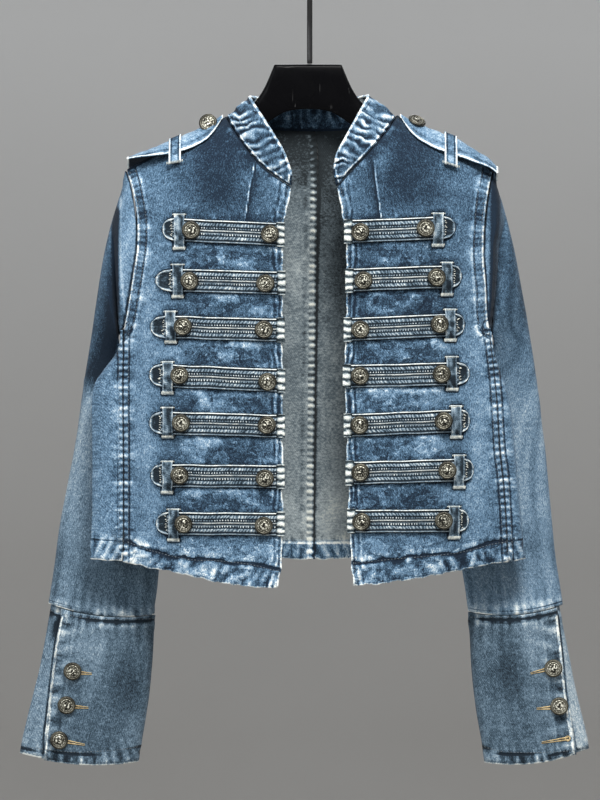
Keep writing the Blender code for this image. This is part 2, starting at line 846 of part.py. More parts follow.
FACE_SAMPLES = [(along, across) for along in (0.25, 0.5, 0.75) for across in (0, 0.5, 1)]


def clear_cloth(corners, skin):
    """Moves a laid sheet's corners forward until none of its faces cuts into the cloth."""
    for _ in range(3):
        for first, second in zip(corners, corners[1:]):
            for index in range(len(first) - 1):
                face = (first[index], first[index + 1], second[index], second[index + 1])
                for along, across in FACE_SAMPLES:
                    point = face[0].lerp(face[1], across).lerp(face[2].lerp(face[3], across), along)
                    cloth = skin.front(point.x, point.z)
                    short = point.y - (cloth - LEAST_UNDER_STRAP) if cloth is not None else 0
                    if short > 0:
                        for corner in face:
                            corner.y -= short


def add_strap(side, row, skin):
    """A ribbed band with a bound inner end, a keeper round it and a pointed tab."""
    data = dict(zip(STRAP_COLUMNS.split(), row))
    way = SIDES[side]
    inner = centre_front(side, data["inner_z"]).x - way * 0.6
    tip = data["tip"]
    keeper = data["keeper"]
    half = STRAP_HALF_WIDTH
    step = 0.7
    # place along, half width, rise
    stations = [
        (inner, half + 0.5, 0.9),
        (inner + way * STRAP_BIND, half + 0.5, 0.9),
        (inner + way * (STRAP_BIND + step), half, 0),
    ]
    start = keeper - way * (KEEPER_HALF_WIDTH + step)
    run = start - (inner + way * (STRAP_BIND + step))
    stations += [
        (inner + way * (STRAP_BIND + step) + run * share, half, 0) for share in (0.25, 0.5, 0.75, 1)
    ]
    stations += [
        (keeper - way * KEEPER_HALF_WIDTH, data["keeper_half"], KEEPER_RISE),
        (keeper + way * KEEPER_HALF_WIDTH, data["keeper_half"], KEEPER_RISE),
        (keeper + way * (KEEPER_HALF_WIDTH + step), half, 0),
        ((keeper + way * KEEPER_HALF_WIDTH) * 0.45 + tip * 0.55, half * 0.92, 0),
        (tip, half * 0.3, -0.2),
    ]
    across_shares = (-1, -0.5, 0, 0.5, 1)
    faces = (len(stations) - 1, len(across_shares) - 1)

    def middle_height(across):
        share = (across - inner) / (tip - inner)
        return data["inner_z"] + (data["outer_z"] - data["inner_z"]) * share

    def corner(station, index):
        across, half_width, _ = stations[station]
        in_keeper = half_width > half + 1
        centre_height = data["keeper_z"] if in_keeper else middle_height(across)
        height = centre_height + across_shares[index] * half_width
        return Vector((across, skin.front(across, height) - CLOTH_UNDER_STRAP, height))

    under = [[corner(station, index) for index in range(faces[1] + 1)] for station in range(faces[0] + 1)]
    clear_cloth(under, skin)

    def place(u, v, outer):
        station = round(u * faces[0])
        index = round(v * faces[1])
        _, half_width, rise = stations[station]
        top = (STRAP_VALLEY if index % 2 else STRAP_EDGE) + rise
        if half_width > half + 1:
            top = KEEPER_END if index in (0, faces[1]) else STRAP_EDGE + KEEPER_RISE
        return under[station][index] - Vector((0, top if outer else 0, 0))

    name = f"frog_{side}_{data['row']}"
    strap = add_object(name, slab(name, faces, place), (0.16, 0.26, 0.40), 0.8)
    strap_skin = Skin(strap)
    add_button(f"{name}_button_inner", data["inner_button"], data["inner_button_z"], strap_skin)
    add_button(f"{name}_button_outer", data["outer_button"], data["outer_button_z"], strap_skin)


def add_button(name, across, height, skin):
    """A button whose shank stands on the cloth under it."""
    depths = []
    for turn in range(6):
        angle = turn * math.pi / 3
        depths.append(skin.front(across + 2.6 * math.cos(angle), height + 2.6 * math.sin(angle)))
    button = add_object(name, button_mesh(name), (0.30, 0.24, 0.17), 0.35, 0.9)
    place = Vector((across, min(depths) - SEAM_GAP, height)) * MM
    button.matrix_world = Matrix.Translation(place) @ Matrix.Rotation(math.pi / 2, 4, "X")


def add_epaulette(side, skin):
    """A band over the shoulder, with its carrier loop and its button sewn through it."""
    table = EPAULETTE[side]
    loop = EPAULETTE_LOOP[side]
    shares = sorted(
        (0, 0.08, 0.24, 0.62, 0.72, 0.80, 0.92, 1)
        + (loop - EPAULETTE_LOOP_HALF - 0.008, loop - EPAULETTE_LOOP_HALF)
        + (loop + EPAULETTE_LOOP_HALF, loop + EPAULETTE_LOOP_HALF + 0.008)
    )
    faces = (len(shares) - 1, 6)

    def place(u, v, outer):
        share = shares[round(u * faces[0])]
        way = v * 2 - 1
        half = table.at(share, "half")
        drop = table.at(share, "drop")
        in_loop = abs(share - loop) < EPAULETTE_LOOP_HALF + 0.001
        lift = EPAULETTE_LOOP_RISE if in_loop else 0
        if in_loop:
            half += 1.5
            drop += 5
        lowered = drop * (1 if way < 0 else EPAULETTE_BACK_DROP) * abs(way) ** 1.7
        wall = 0 if outer else EPAULETTE_WALL + (lift if in_loop else 0)
        height = table.at(share, "height") + lift - lowered - wall * (1 - 0.5 * abs(way))
        depth = way * (half - (0 if outer else wall * 0.6 * abs(way)))
        across = table.at(share, "across")
        cloth = skin.front(across, height, past_edge=1) if way < 0 else None
        if cloth is not None:
            depth = min(depth, cloth - EPAULETTE_OVER_CLOTH - (EPAULETTE_WALL if outer else 0))
        return Vector((across, depth, height))

    name = f"epaulette_{side}"
    band = add_object(name, slab(name, faces, place), (0.17, 0.28, 0.42), 0.8)

    share = EPAULETTE_BUTTON[side]
    centre = Vector((table.at(share, "across"), 0, table.at(share, "height") - 1.2))
    before = table.at(share - 0.05, "height") - table.at(share + 0.05, "height")
    run = table.at(share - 0.05, "across") - table.at(share + 0.05, "across")
    tilt = math.atan2(before, run) if run > 0 else math.atan2(-before, -run)
    button = add_object(f"{name}_button", button_mesh(f"{name}_button"), (0.30, 0.24, 0.17), 0.35, 0.9)
    forward = Matrix.Rotation(math.radians(30 if side == "right" else 8), 4, "X")
    button.matrix_world = (
        Matrix.Translation(centre * MM) @ Matrix.Rotation(-tilt, 4, "Y") @ forward
    )
    button.hide_render = True
    button.display_type = "WIRE"
    joint = band.modifiers.new("Button", "BOOLEAN")
    joint.operation = "UNION"
    joint.solver = "EXACT"
    joint.object = button
    return band


def hanger_stations():
    """Across, top and bottom of the hanger from its right arm to its left one."""
    right = []
    left = []
    for side, found in (("right", right), ("left", left)):
        shoulder = SHOULDER[side]
        ends = [abs(shoulder.rows[0][1]), abs(shoulder.rows[-1][1])]
        for across in HANGER_ARM_STATIONS:
            share = (across - ends[0]) / (ends[1] - ends[0])
            top = shoulder.at(share, "height") - HANGER_UNDER_CLOTH
            if across == HANGER_ARM_STATIONS[-1]:
                top -= HANGER_ARM.at(across, "deep") * 0.6
            found.append((SIDES[side] * across, top, top - HANGER_ARM.at(across, "deep")))
    neck = [(across, HANGER.at(abs(across), "top"), HANGER.at(abs(across), "bottom"))
            for across in [-place for place in reversed(HANGER_NECK_STATIONS[1:])] + list(HANGER_NECK_STATIONS)]
    return list(reversed(right)) + neck + left


def add_hanger():
    """A flat moulded hanger with a wide neck, rounded edges and arms under the shoulders."""
    shape = bmesh.new()
    ring_before = None
    rings = []
    half = HANGER_HALF_THICKNESS
    for across, top, bottom in hanger_stations():
        soft = min(HANGER_SHOULDER_SOFTNESS if abs(across) > 40 else 2.5, (top - bottom) * 0.4)
        under = min(3.0, (top - bottom) * 0.3)
        outline = (
            (0, top),
            (half * 0.5, top - soft * 0.2),
            (half, top - soft),
            (half, bottom + under),
            (half * 0.6, bottom),
            (-half * 0.6, bottom),
            (-half, bottom + under),
            (-half, top - soft),
            (-half * 0.5, top - soft * 0.2),
        )
        ring = [shape.verts.new((across * MM, depth * MM, height * MM)) for depth, height in outline]
        edges = [shape.edges.new((ring[i], ring[(i + 1) % len(ring)])) for i in range(len(ring))]
        rings.append(ring)
        if ring_before:
            bmesh.ops.bridge_loops(shape, edges=ring_before + edges)
        ring_before = edges
    shape.faces.new(rings[0])
    shape.faces.new(rings[-1])
    bmesh.ops.recalc_face_normals(shape, faces=shape.faces)
    add_object("hanger_body", finish_mesh("hanger_body", shape, 40), (0.006, 0.006, 0.007), 0.18)


def add_hook():
    """A round wire that rises from the hanger's neck and turns over the rail."""
    points = [(0, HANGER_NECK_Z + 0.3), (0, -80), (0, -62), (-2.5, -51), (-9, -41)]
    for step in range(12):
        angle = math.radians(215 - step * 22)
        points.append((HOOK_CROWN * math.cos(angle), -17 + HOOK_CROWN * math.sin(angle)))
    curve = bpy.data.curves.new("hanger_hook", "CURVE")
    curve.dimensions = "3D"
    curve.bevel_depth = HOOK_RADIUS * MM
    curve.bevel_resolution = 2
    curve.use_fill_caps = True
    line = curve.splines.new("POLY")
    line.points.add(len(points) - 1)
    for point, (depth, height) in zip(line.points, points):
        point.co = (HOOK_X * MM, depth * MM, height * MM, 1)
    add_object_curve("hanger_hook", curve)


def add_object_curve(name, curve):
    thing = bpy.data.objects.new(name, curve)
    bpy.context.scene.collection.objects.link(thing)
    curve.materials.append(material(name, (0.01, 0.01, 0.011), 0.25, 0.2))
    return thing


def build():
    for thing in list(bpy.data.objects):
        bpy.data.objects.remove(thing)
    denim = (0.17, 0.28, 0.43)
    for side in SIDES:
        front = add_cloth(
            f"front_{side}",
            grid_shape(FRONT_FACES, lambda u, v: front_point(side, u, v)),
            body_axis,
            CLOTH_WALL,
            denim,
        )

        def keep(u, v):
            return u < BACK_PANEL_FACES / BACK_FACES[0] or v > BACK_ARMHOLE_FACES / BACK_FACES[1]

        add_cloth(
            f"back_{side}",
            grid_shape(BACK_FACES, lambda u, v: back_half(side, u, v), keep=keep),
            body_axis,
            CLOTH_WALL,
            denim,
        )
        way = SIDES[side]
        add_cloth(
            f"sleeve_{side}",
            grid_shape(SLEEVE_FACES, lambda u, v: sleeve_point(side, u, v), closed=True),
            lambda centre: Vector((way * 0.2, 0.04, centre.z)),
            CLOTH_WALL,
            denim,
        )
        cuff = add_cloth(
            f"cuff_{side}",
            grid_shape(CUFF_FACES, lambda u, v: cuff_point(side, u, v)),
            lambda centre: Vector((way * 0.22, 0.043, centre.z)),
            CUFF_WALL,
            denim,
        )
        cuff_skin = Skin(cuff)
        for number, (across, height) in enumerate(CUFF_BUTTONS[side], 1):
            add_button(f"cuff_{side}_button_{number}", across, height, cuff_skin)
        front_skin = Skin(front)
        for row in STRAPS[side]:
            add_strap(side, row, front_skin)
        add_epaulette(side, front_skin)
    add_cloth(
        "collar",
        grid_shape((2 * (COLLAR_FRONT_FACES + COLLAR_BACK_FACES), COLLAR_ROWS), collar_point),
        lambda centre: Vector((0.004, -0.006, centre.z)),
        COLLAR_WALL,
        denim,
    )
    add_hanger()
    add_hook()


build()
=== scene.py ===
"""A cropped denim jacket with frogged fronts on a plain hanger, dressed over its solids.

The solids give every piece its place and form. This script lays the cloth, the sewing, the
buttons and the finishes over them, and sets the stage.
"""

import functools
import json
import math

import bmesh
import bpy
import numpy as np
from bpy.props import FloatProperty, FloatVectorProperty, PointerProperty
from mathutils import Matrix, Vector
from mathutils.bvhtree import BVHTree
from mathutils.kdtree import KDTree

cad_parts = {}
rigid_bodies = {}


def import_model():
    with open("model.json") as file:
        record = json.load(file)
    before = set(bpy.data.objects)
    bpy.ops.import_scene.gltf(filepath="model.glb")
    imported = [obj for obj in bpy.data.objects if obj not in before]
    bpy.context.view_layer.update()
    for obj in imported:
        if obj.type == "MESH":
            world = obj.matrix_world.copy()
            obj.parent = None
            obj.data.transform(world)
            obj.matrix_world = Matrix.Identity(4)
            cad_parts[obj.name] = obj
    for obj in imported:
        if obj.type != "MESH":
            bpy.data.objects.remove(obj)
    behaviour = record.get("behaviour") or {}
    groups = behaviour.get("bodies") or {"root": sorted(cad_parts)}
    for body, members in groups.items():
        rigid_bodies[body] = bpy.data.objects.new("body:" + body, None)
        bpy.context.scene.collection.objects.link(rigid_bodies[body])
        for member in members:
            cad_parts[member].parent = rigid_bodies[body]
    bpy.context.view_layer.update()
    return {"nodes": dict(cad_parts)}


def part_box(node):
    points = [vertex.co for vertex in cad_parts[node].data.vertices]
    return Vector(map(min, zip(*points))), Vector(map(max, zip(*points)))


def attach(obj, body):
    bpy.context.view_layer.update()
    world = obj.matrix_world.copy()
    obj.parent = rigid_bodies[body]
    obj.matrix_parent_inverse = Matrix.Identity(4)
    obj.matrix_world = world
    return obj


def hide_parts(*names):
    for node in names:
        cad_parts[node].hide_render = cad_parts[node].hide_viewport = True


bl_info = {
    "name": "Denim Jacket Dressing",
    "version": (1, 0, 0),
    "blender": (4, 5, 0),
    "location": "3D View > Sidebar > Jacket",
    "description": "Dresses the solids of a frogged denim jacket with cloth, sewing and buttons",
    "category": "Object",
}

for leftover in list(bpy.data.objects):
    bpy.data.objects.remove(leftover)
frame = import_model()

MM = 0.001
BODY = "root"
SIDES = {"right": -1, "left": 1}

# The drafting sheet: its corner lies this far left of and above the hook's crown
SHEET_LEFT = 308.0
SHEET_TOP = -36.0

# Copies of the solids
WELD = 1e-5
WALL_TURN = math.radians(50)
QUAD_TURN = math.radians(40)
QUAD_SKEW = math.radians(60)
OUTSIDE, INSIDE, EDGE = 0, 1, 2
NOISE_CELLS = 97
FAR = 12.0

REVERSE_LIGHT = (0.30, 0.345, 0.36)
BRASS_TONES = (
    (0.30, (0.007, 0.007, 0.005)), (0.52, (0.085, 0.080, 0.060)), (0.75, (0.29, 0.285, 0.235)),
    (1.0, (0.82, 0.81, 0.70)),
)
PLASTIC_BLACK = (0.002, 0.002, 0.0025, 1)
PLASTIC_SCRATCH = (0.30, 0.30, 0.30, 1)
WIRE_BLACK = (0.008, 0.008, 0.009, 1)
WIRE_SCRATCH = (0.1, 0.1, 0.1, 1)
REVERSE_DARK = (0.105, 0.135, 0.155)


# Sewn lines on the drafting sheet, millimetres across and down
CENTRE_FRONT = {
    "right": ((291, 188), (289.5, 204), (285, 223), (284.5, 264), (284.5, 524), (283, 564), (279, 586)),
    "left": ((337, 188), (339.5, 204), (341.5, 222), (344.5, 250), (344.8, 294), (342.5, 359),
             (344, 420), (346, 480), (348, 540), (352, 584)),
}
NECK_SEAM = {
    "right": ((226, 118), (239, 140), (254.7, 161), (272, 176), (291, 188)),
    "left": ((397, 117), (385, 134), (371, 152), (352, 171), (337, 188)),
}
DART = {
    "right": ((255.5, 162), (250, 192), (245.5, 221)),
    "left": ((371.5, 154), (376, 187), (380, 218)),
}
HEM_STITCH = {
    "right": ((126, 541), (155, 551), (189, 558.6), (219, 560), (250, 563.5), (273, 569), (282, 570)),
    "left": ((349, 563), (389, 558.6), (455, 552.5), (491, 544), (508, 541.5)),
}
HEM_EDGE = {
    "right": ((124, 561), (159.5, 568.5), (198, 577), (228, 583), (272, 588), (280, 586)),
    "left": ((350, 584), (364, 583.5), (403, 580), (462, 569), (508, 561)),
}
ARMHOLE = {
    "right": ((127, 171), (131.5, 185), (135.5, 202), (138, 222), (138, 244), (135.5, 264),
              (131.5, 288), (127, 314), (124, 328)),
    "left": ((492, 172), (489, 186), (486, 203), (484, 223), (483, 245), (483.5, 265),
             (485.5, 288), (486.5, 313), (487.5, 326)),
}
ARMHOLE_TOPSTITCH = {"right": 8.5, "left": 9.5}
SIDE_SEAM = {
    "right": ((124, 328), (124, 420), (124, 561)),
    "left": ((487.5, 326), (491.6, 355), (495, 385), (499, 449), (503, 479), (507, 541), (507.5, 561)),
}
BACK_SEAM = ((314, 132), (318, 154), (316.5, 321), (315, 444), (314, 560))
BACK_HEM_STITCH = ((90, 539), (200, 541.5), (314, 542), (430, 541.5), (526, 539))
BACK_HEM_EDGE = ((90, 556.5), (200, 559.5), (314, 560), (430, 559.5), (526, 556.5))

# Straps, top to bottom: heights of the band at both ends and the places of what it carries
STRAP_COLUMNS = "row inner_z outer_z tip outer_button inner_button keeper keeper_z keeper_half".split()
STRAPS = {
    "right": (
        (1, -271.8, -265.5, -145.0, -116.5, -38.0, -128.5, -268.5, 18.5),
        (2, -319.5, -316.5, -152.0, -118.0, -42.5, -130.0, -317.5, 17.5),
        (3, -366.5, -363.0, -157.0, -124.6, -44.0, -136.7, -363.5, 16.8),
        (4, -416.8, -411.0, -158.0, -128.0, -40.4, -140.0, -414.0, 17.0),
        (5, -462.0, -458.5, -158.0, -126.5, -41.0, -140.0, -458.5, 16.0),
        (6, -512.5, -511.0, -156.5, -128.0, -43.0, -140.0, -513.0, 17.0),
        (7, -559.5, -559.0, -151.4, -124.0, -44.0, -134.0, -560.5, 16.8),
    ),
    "left": (
        (1, -268.5, -264.0, 146.7, 117.0, 52.0, 129.7, -266.5, 17.5),
        (2, -317.0, -312.5, 153.0, 128.0, 55.0, 138.5, -315.5, 17.5),
        (3, -366.0, -360.5, 156.0, 131.0, 52.0, 141.5, -361.5, 16.8),
        (4, -412.5, -409.5, 161.0, 133.0, 51.6, 143.5, -409.7, 17.8),
        (5, -461.5, -456.5, 161.0, 135.0, 51.0, 148.0, -458.0, 17.0),
        (6, -509.0, -505.5, 165.0, 138.7, 52.0, 150.5, -507.5, 17.5),
        (7, -556.5, -556.0, 160.0, 135.0, 53.0, 145.5, -558.0, 17.0),
    ),
}
STRAP_INNER = {
    "right": (-23.6, -22.6, -23.4, -23.0, -23.2, -23.4, -23.4),
    "left": (36.0, 37.2, 35.6, 34.6, 35.6, 37.4, 39.0),
}


def across_of(place):
    return place[:, 0] + SHEET_LEFT


def down_of(place):
    return SHEET_TOP - place[:, 2]


def curve_through(points, step):
    """A smooth line through points, as an array of places about one step apart."""
    points = np.asarray(points, float)
    padded = np.vstack((2 * points[0] - points[1], points, 2 * points[-1] - points[-2]))
    found = []
    for a, b, c, d in zip(padded, padded[1:], padded[2:], padded[3:]):
        count = max(int(np.linalg.norm(c - b) / step), 1)
        for t in np.arange(count) / count:
            found.append(
                0.5 * (
                    2 * b
                    + (c - a) * t
                    + (2 * a - 5 * b + 4 * c - d) * t**2
                    + (3 * b - a - 3 * c + d) * t**3
                )
            )
    found.append(points[-1])
    return np.array(found)


def off_line(points, across, down):
    """Distance off a line on the sheet, positive to its right as it runs down, and length along it."""
    points = curve_through(points, 6)
    nearest = np.full(across.shape, 1e9)
    off = np.zeros(across.shape)
    along = np.zeros(across.shape)
    run = 0.0
    for (a0, d0), (a1, d1) in zip(points, points[1:]):
        length = math.hypot(a1 - a0, d1 - d0)
        share = np.clip(((across - a0) * (a1 - a0) + (down - d0) * (d1 - d0)) / length**2, 0, 1)
        away = np.hypot(across - a0 - share * (a1 - a0), down - d0 - share * (d1 - d0))
        turn = (d1 - d0) * (across - a0) - (a1 - a0) * (down - d0)
        closer = away < nearest
        nearest = np.where(closer, away, nearest)
        off = np.where(closer, np.where(turn < 0, -away, away), off)
        along = np.where(closer, run + share * length, along)
        run += length
    return off, along


@functools.lru_cache(maxsize=None)
def noise_cells(seed):
    return np.random.default_rng(seed).random((NOISE_CELLS, NOISE_CELLS)) * 2 - 1


def drift(u, v, seed):
    """Smooth noise from -1 to 1 over two coordinates counted in wavelengths."""
    cells = noise_cells(seed)
    i, j = np.floor(u).astype(int), np.floor(v).astype(int)
    s, t = u - i, v - j
    s, t = s * s * (3 - 2 * s), t * t * (3 - 2 * t)
    i, j, k, m = i % NOISE_CELLS, j % NOISE_CELLS, (i + 1) % NOISE_CELLS, (j + 1) % NOISE_CELLS
    low = cells[i, j] * (1 - s) + cells[k, j] * s
    high = cells[i, m] * (1 - s) + cells[k, m] * s
    return low * (1 - t) + high * t


def tangle(u, v, seed, rounds=3):
    total = sum(drift(u * 2**n, v * 2**n, seed + n) / 2**n for n in range(rounds))
    return total / 1.5


def bell(off, width):
    return np.exp(-((off / width) ** 2))


def step_up(value, low, high):
    t = np.clip((value - low) / (high - low), 0, 1)
    return t * t * (3 - 2 * t)


def step_down(value, low, high):
    """One below low, zero above high, smooth between them."""
    return 1 - step_up(value, low, high)


def span(value, start, full, fade, end):
    """One between two soft steps, zero outside them."""
    return step_up(value, start, full) * step_down(value, fade, end)


def cosine_wave(turns):
    """One ridge for each whole turn."""
    return np.cos(2 * math.pi * turns)


def waver(along, seed):
    """Smooth noise along one line."""
    return drift(along, 0 * along, seed)


def two_walls(shape, core):
    """The outer and the inner wall of a closed shell of cloth, as lists of faces."""
    seen = set()
    regions = []
    for first in shape.faces:
        if first in seen:
            continue
        seen.add(first)
        region = [first]
        for face in region:
            for edge in face.edges:
                if edge.calc_face_angle(math.pi) < WALL_TURN:
                    for other in edge.link_faces:
                        if other not in seen:
                            seen.add(other)
                            region.append(other)
        regions.append(region)
    regions.sort(key=lambda region: -sum(face.calc_area() for face in region))
    walls = regions[:2]

    def outward(region):
        total = 0.0
        for face in region:
            centre = face.calc_center_median()
            total += face.normal.dot(centre - core(centre)) * face.calc_area()
        return total

    walls.sort(key=outward)
    return walls[1], walls[0]


# What each corner of a cloth carries: amounts that start at none, distances to the nearest line of
# each kind that start far away, and moves in millimetres
AMOUNTS = ("wash", "marble", "cast", "run", "ladder")
DISTANCES = ("pale", "dark", "near", "band")
MOVES = ("lift", "slide", "drop")


class Cloth:
    """A piece of cloth copied from its solid and made fine, with facts about each corner."""

    def __init__(self, node, levels, core):
        self.node = node
        shape = bmesh.new()
        shape.from_mesh(frame["nodes"][node].data)
        bmesh.ops.remove_doubles(shape, verts=shape.verts, dist=WELD)
        bmesh.ops.join_triangles(
            shape, faces=shape.faces, angle_face_threshold=QUAD_TURN, angle_shape_threshold=QUAD_SKEW
        )
        shape.normal_update()
        crease = shape.edges.layers.float.new("crease_edge")
        for edge in shape.edges:
            if edge.calc_face_angle(math.pi) > WALL_TURN:
                edge[crease] = 1.0
        outer, inner = two_walls(shape, core)
        for face in shape.faces:
            face.material_index = EDGE
        for kind, region in ((OUTSIDE, outer), (INSIDE, inner)):
            for face in region:
                face.material_index = kind
        coarse = bpy.data.meshes.new(node + "_coarse")
        shape.to_mesh(coarse)
        shape.free()
        thing = bpy.data.objects.new(node + "_coarse", coarse)
        bpy.context.scene.collection.objects.link(thing)
        finer = thing.modifiers.new("Fine", "SUBSURF")
        finer.levels = finer.render_levels = levels
        graph = bpy.context.evaluated_depsgraph_get()
        self.mesh = bpy.data.meshes.new_from_object(thing.evaluated_get(graph))
        bpy.data.objects.remove(thing)
        bpy.data.meshes.remove(coarse)
        self.read_mesh()

    def read_mesh(self):
        mesh = self.mesh
        count = len(mesh.vertices)
        places = np.empty(count * 3)
        mesh.vertices.foreach_get("co", places)
        self.place = places.reshape(-1, 3) / MM
        normals = np.empty(count * 3)
        mesh.vertex_normals.foreach_get("vector", normals)
        normals = normals.reshape(-1, 3)
        self.corner_of = np.empty(len(mesh.loops), int)
        mesh.loops.foreach_get("vertex_index", self.corner_of)
        kinds = np.empty(len(mesh.polygons), int)
        totals = np.empty(len(mesh.polygons), int)
        mesh.polygons.foreach_get("material_index", kinds)
        mesh.polygons.foreach_get("loop_total", totals)
        kinds = np.repeat(kinds, totals)
        touch = np.zeros((3, count), bool)
        for kind in (OUTSIDE, INSIDE, EDGE):
            touch[kind, self.corner_of[kinds == kind]] = True
        self.outer = touch[OUTSIDE]
        self.inner = touch[INSIDE]
        self.on_edge = touch[EDGE]
        self.out = np.where(touch[INSIDE][:, None], -normals, normals)
        clean = np.flatnonzero(~touch[EDGE])
        tree = KDTree(len(clean))
        for index in clean:
            tree.insert(self.place[index], index)
        tree.balance()
        for index in np.flatnonzero(touch[EDGE]):
            self.out[index] = self.out[tree.find(self.place[index])[1]]
        rim = np.flatnonzero(touch[EDGE])
        edges = KDTree(len(rim))
        for index in rim:
            edges.insert(self.place[index], index)
        edges.balance()
        self.from_edge = np.array([edges.find(place)[2] for place in self.place])
        for name in AMOUNTS + MOVES:
            setattr(self, name, np.zeros(count))
        for name in DISTANCES:
            setattr(self, name, np.full(count, FAR))
        self.faces_out = np.zeros(count, bool)
        self.turned_in = np.zeros(count, bool)
        self.across = across_of(self.place)
        self.down = down_of(self.place)
        mesh.polygons.foreach_set("material_index", np.zeros(len(mesh.polygons), int))

    def pale_line(self, off, where=1.0):
        """A line worn to bare cotton, where the share is one."""
        self.pale = np.minimum(self.pale, np.abs(off) + FAR * (1 - where))

    def dark_line(self, off, where=1.0):
        """A sunk line of unfaded cloth, or a line of painted shadow round a strap, where the share is one."""
        self.dark = np.minimum(self.dark, np.abs(off) + FAR * (1 - where))

    def gathered(self, off, along, where=1.0):
        """Short folds across a seam, where the share is one."""
        away = np.abs(off) + FAR * (1 - where)
        closer = away < self.near
        self.near = np.where(closer, away, self.near)
        self.run = np.where(closer, along, self.run)

    def set_ladder(self, off, turns, where=1.0):
        """Light and dark bars across a felled seam, counted in turns."""
        away = np.abs(off) + FAR * (1 - where)
        closer = away < self.band
        self.band = np.where(closer, away, self.band)
        self.ladder = np.where(closer, turns, self.ladder)

    def pucker(self, off, along, reach, pitch, height, seed, wash=0.5, slant=0.0, where=1.0):
        """Small uneven ridges across a seam, gone at some reach from it."""
        turns = (along + slant * off) / pitch + 0.45 * drift(along / (pitch * 3), off / (reach * 3), seed)
        wave = cosine_wave(turns) * (0.65 + 0.35 * drift(along / (pitch * 2.3), off / reach, seed + 7))
        near = np.exp(-np.abs(off) / reach) * where
        self.lift += height * wave * near
        self.wash += wash * wave * near

    def finish(self, name, finish, slot, weave, replaced=None):
        """Sets the moved corners and the marks, and makes the piece."""
        mesh = self.mesh
        placed = self.place + self.out * self.lift[:, None]
        placed[:, 0] += self.slide
        placed[:, 2] -= self.drop
        mesh.vertices.foreach_set("co", (placed * MM).ravel())
        marks = {name: getattr(self, name) for name in AMOUNTS + DISTANCES}
        wrong_side = self.inner & ~self.outer & (~self.on_edge | self.turned_in) & ~self.faces_out
        marks["inside"] = wrong_side.astype(float)
        for mark, values in marks.items():
            layer = mesh.attributes.new(mark, "FLOAT", "POINT")
            layer.data.foreach_set("value", values.astype(np.float32))
        for extra in [a.name for a in mesh.attributes if a.name in ("crease_edge", "sharp_face")]:
            mesh.attributes.remove(mesh.attributes[extra])
        layer = mesh.uv_layers.new(name="weave")
        layer.data.foreach_set("uv", (weave[self.corner_of] * MM).astype(np.float32).ravel())
        mesh.shade_smooth()
        mesh.update()
        return add_piece(name, mesh, finish, replaced or self.node)


def add_piece(name, mesh, finish, replaced=()):
    """An object of the finished mesh that rides with the jacket."""
    thing = bpy.data.objects.new(name, mesh)
    bpy.context.scene.collection.objects.link(thing)
    mesh.name = name
    mesh.materials.clear()
    mesh.materials.append(finish)
    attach(thing, BODY)
    for node in [replaced] if isinstance(replaced, str) else replaced:
        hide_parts(node)
    return thing


# ---------------------------------------------------------------- finishes


class Wiring:
    """Short calls that add nodes to a tree and link them."""

    def __init__(self, tree):
        self.tree = tree

    def add(self, kind, settings=None, **inputs):
        node = self.tree.nodes.new(kind)
        for name, value in (settings or {}).items():
            setattr(node, name, value)
        for name, value in inputs.items():
            self.feed(node.inputs[name.replace("_", " ")], value)
        return node

    def feed(self, socket, value):
        if isinstance(value, bpy.types.NodeSocket):
            self.tree.links.new(value, socket)
        else:
            socket.default_value = value

    def math(self, operation, first, second=0.0, clamp=False):
        node = self.tree.nodes.new("ShaderNodeMath")
        node.operation = operation
        node.use_clamp = clamp
        self.feed(node.inputs[0], first)
        self.feed(node.inputs[1], second)
        return node.outputs[0]

    def bump(self, shader, height, strength, depth):
        """Raises the surface of a finish; depth in metres."""
        made = self.add("ShaderNodeBump", Height=height)
        made.inputs["Strength"].default_value = strength
        made.inputs["Distance"].default_value = depth
        self.feed(shader.inputs["Normal"], made.outputs[0])

    def plus(self, first, second):
        return self.math("ADD", first, second)

    def minus(self, first, second):
        return self.math("SUBTRACT", first, second)

    def times(self, first, second):
        return self.math("MULTIPLY", first, second)

    def fall(self, value, start, end, at_start=1.0, at_end=0.0):
        """A soft step from one value to another as the input goes from start to end."""
        node = self.tree.nodes.new("ShaderNodeMapRange")
        node.interpolation_type = "SMOOTHSTEP"
        self.feed(node.inputs["Value"], value)
        if start > end:
            start, end, at_start, at_end = end, start, at_end, at_start
        for name, limit in (("From Min", start), ("From Max", end), ("To Min", at_start), ("To Max", at_end)):
            node.inputs[name].default_value = limit
        return node.outputs["Result"]

    def stretched(self, vector, x, y, z):
        node = self.tree.nodes.new("ShaderNodeVectorMath")
        node.operation = "MULTIPLY"
        self.feed(node.inputs[0], vector)
        node.inputs[1].default_value = (x, y, z)
        return node.outputs[0]

    def noise(self, vector, scale, detail=2.0, roughness=0.5, distortion=0.0):
        node = self.add("ShaderNodeTexNoise", Vector=vector, Scale=scale, Detail=detail)
        node.inputs["Roughness"].default_value = roughness
        node.inputs["Distortion"].default_value = distortion
        return node.outputs["Fac"]

    def ramp(self, value, *stops):
        node = self.tree.nodes.new("ShaderNodeValToRGB")
        elements = node.color_ramp.elements
        while len(elements) < len(stops):
            elements.new(0.5)
        for element, (place, colour) in zip(elements, stops):
            element.position = place
            element.color = (*colour, 1) if len(colour) == 3 else colour
        self.feed(node.inputs["Fac"], value)
        return node.outputs["Color"]

    def mix(self, share, first, second):
        node = self.tree.nodes.new("ShaderNodeMix")
        node.data_type = "RGBA"
        self.feed(node.inputs[0], share)
        self.feed(node.inputs[6], first)
        self.feed(node.inputs[7], second)
        return node.outputs[2]


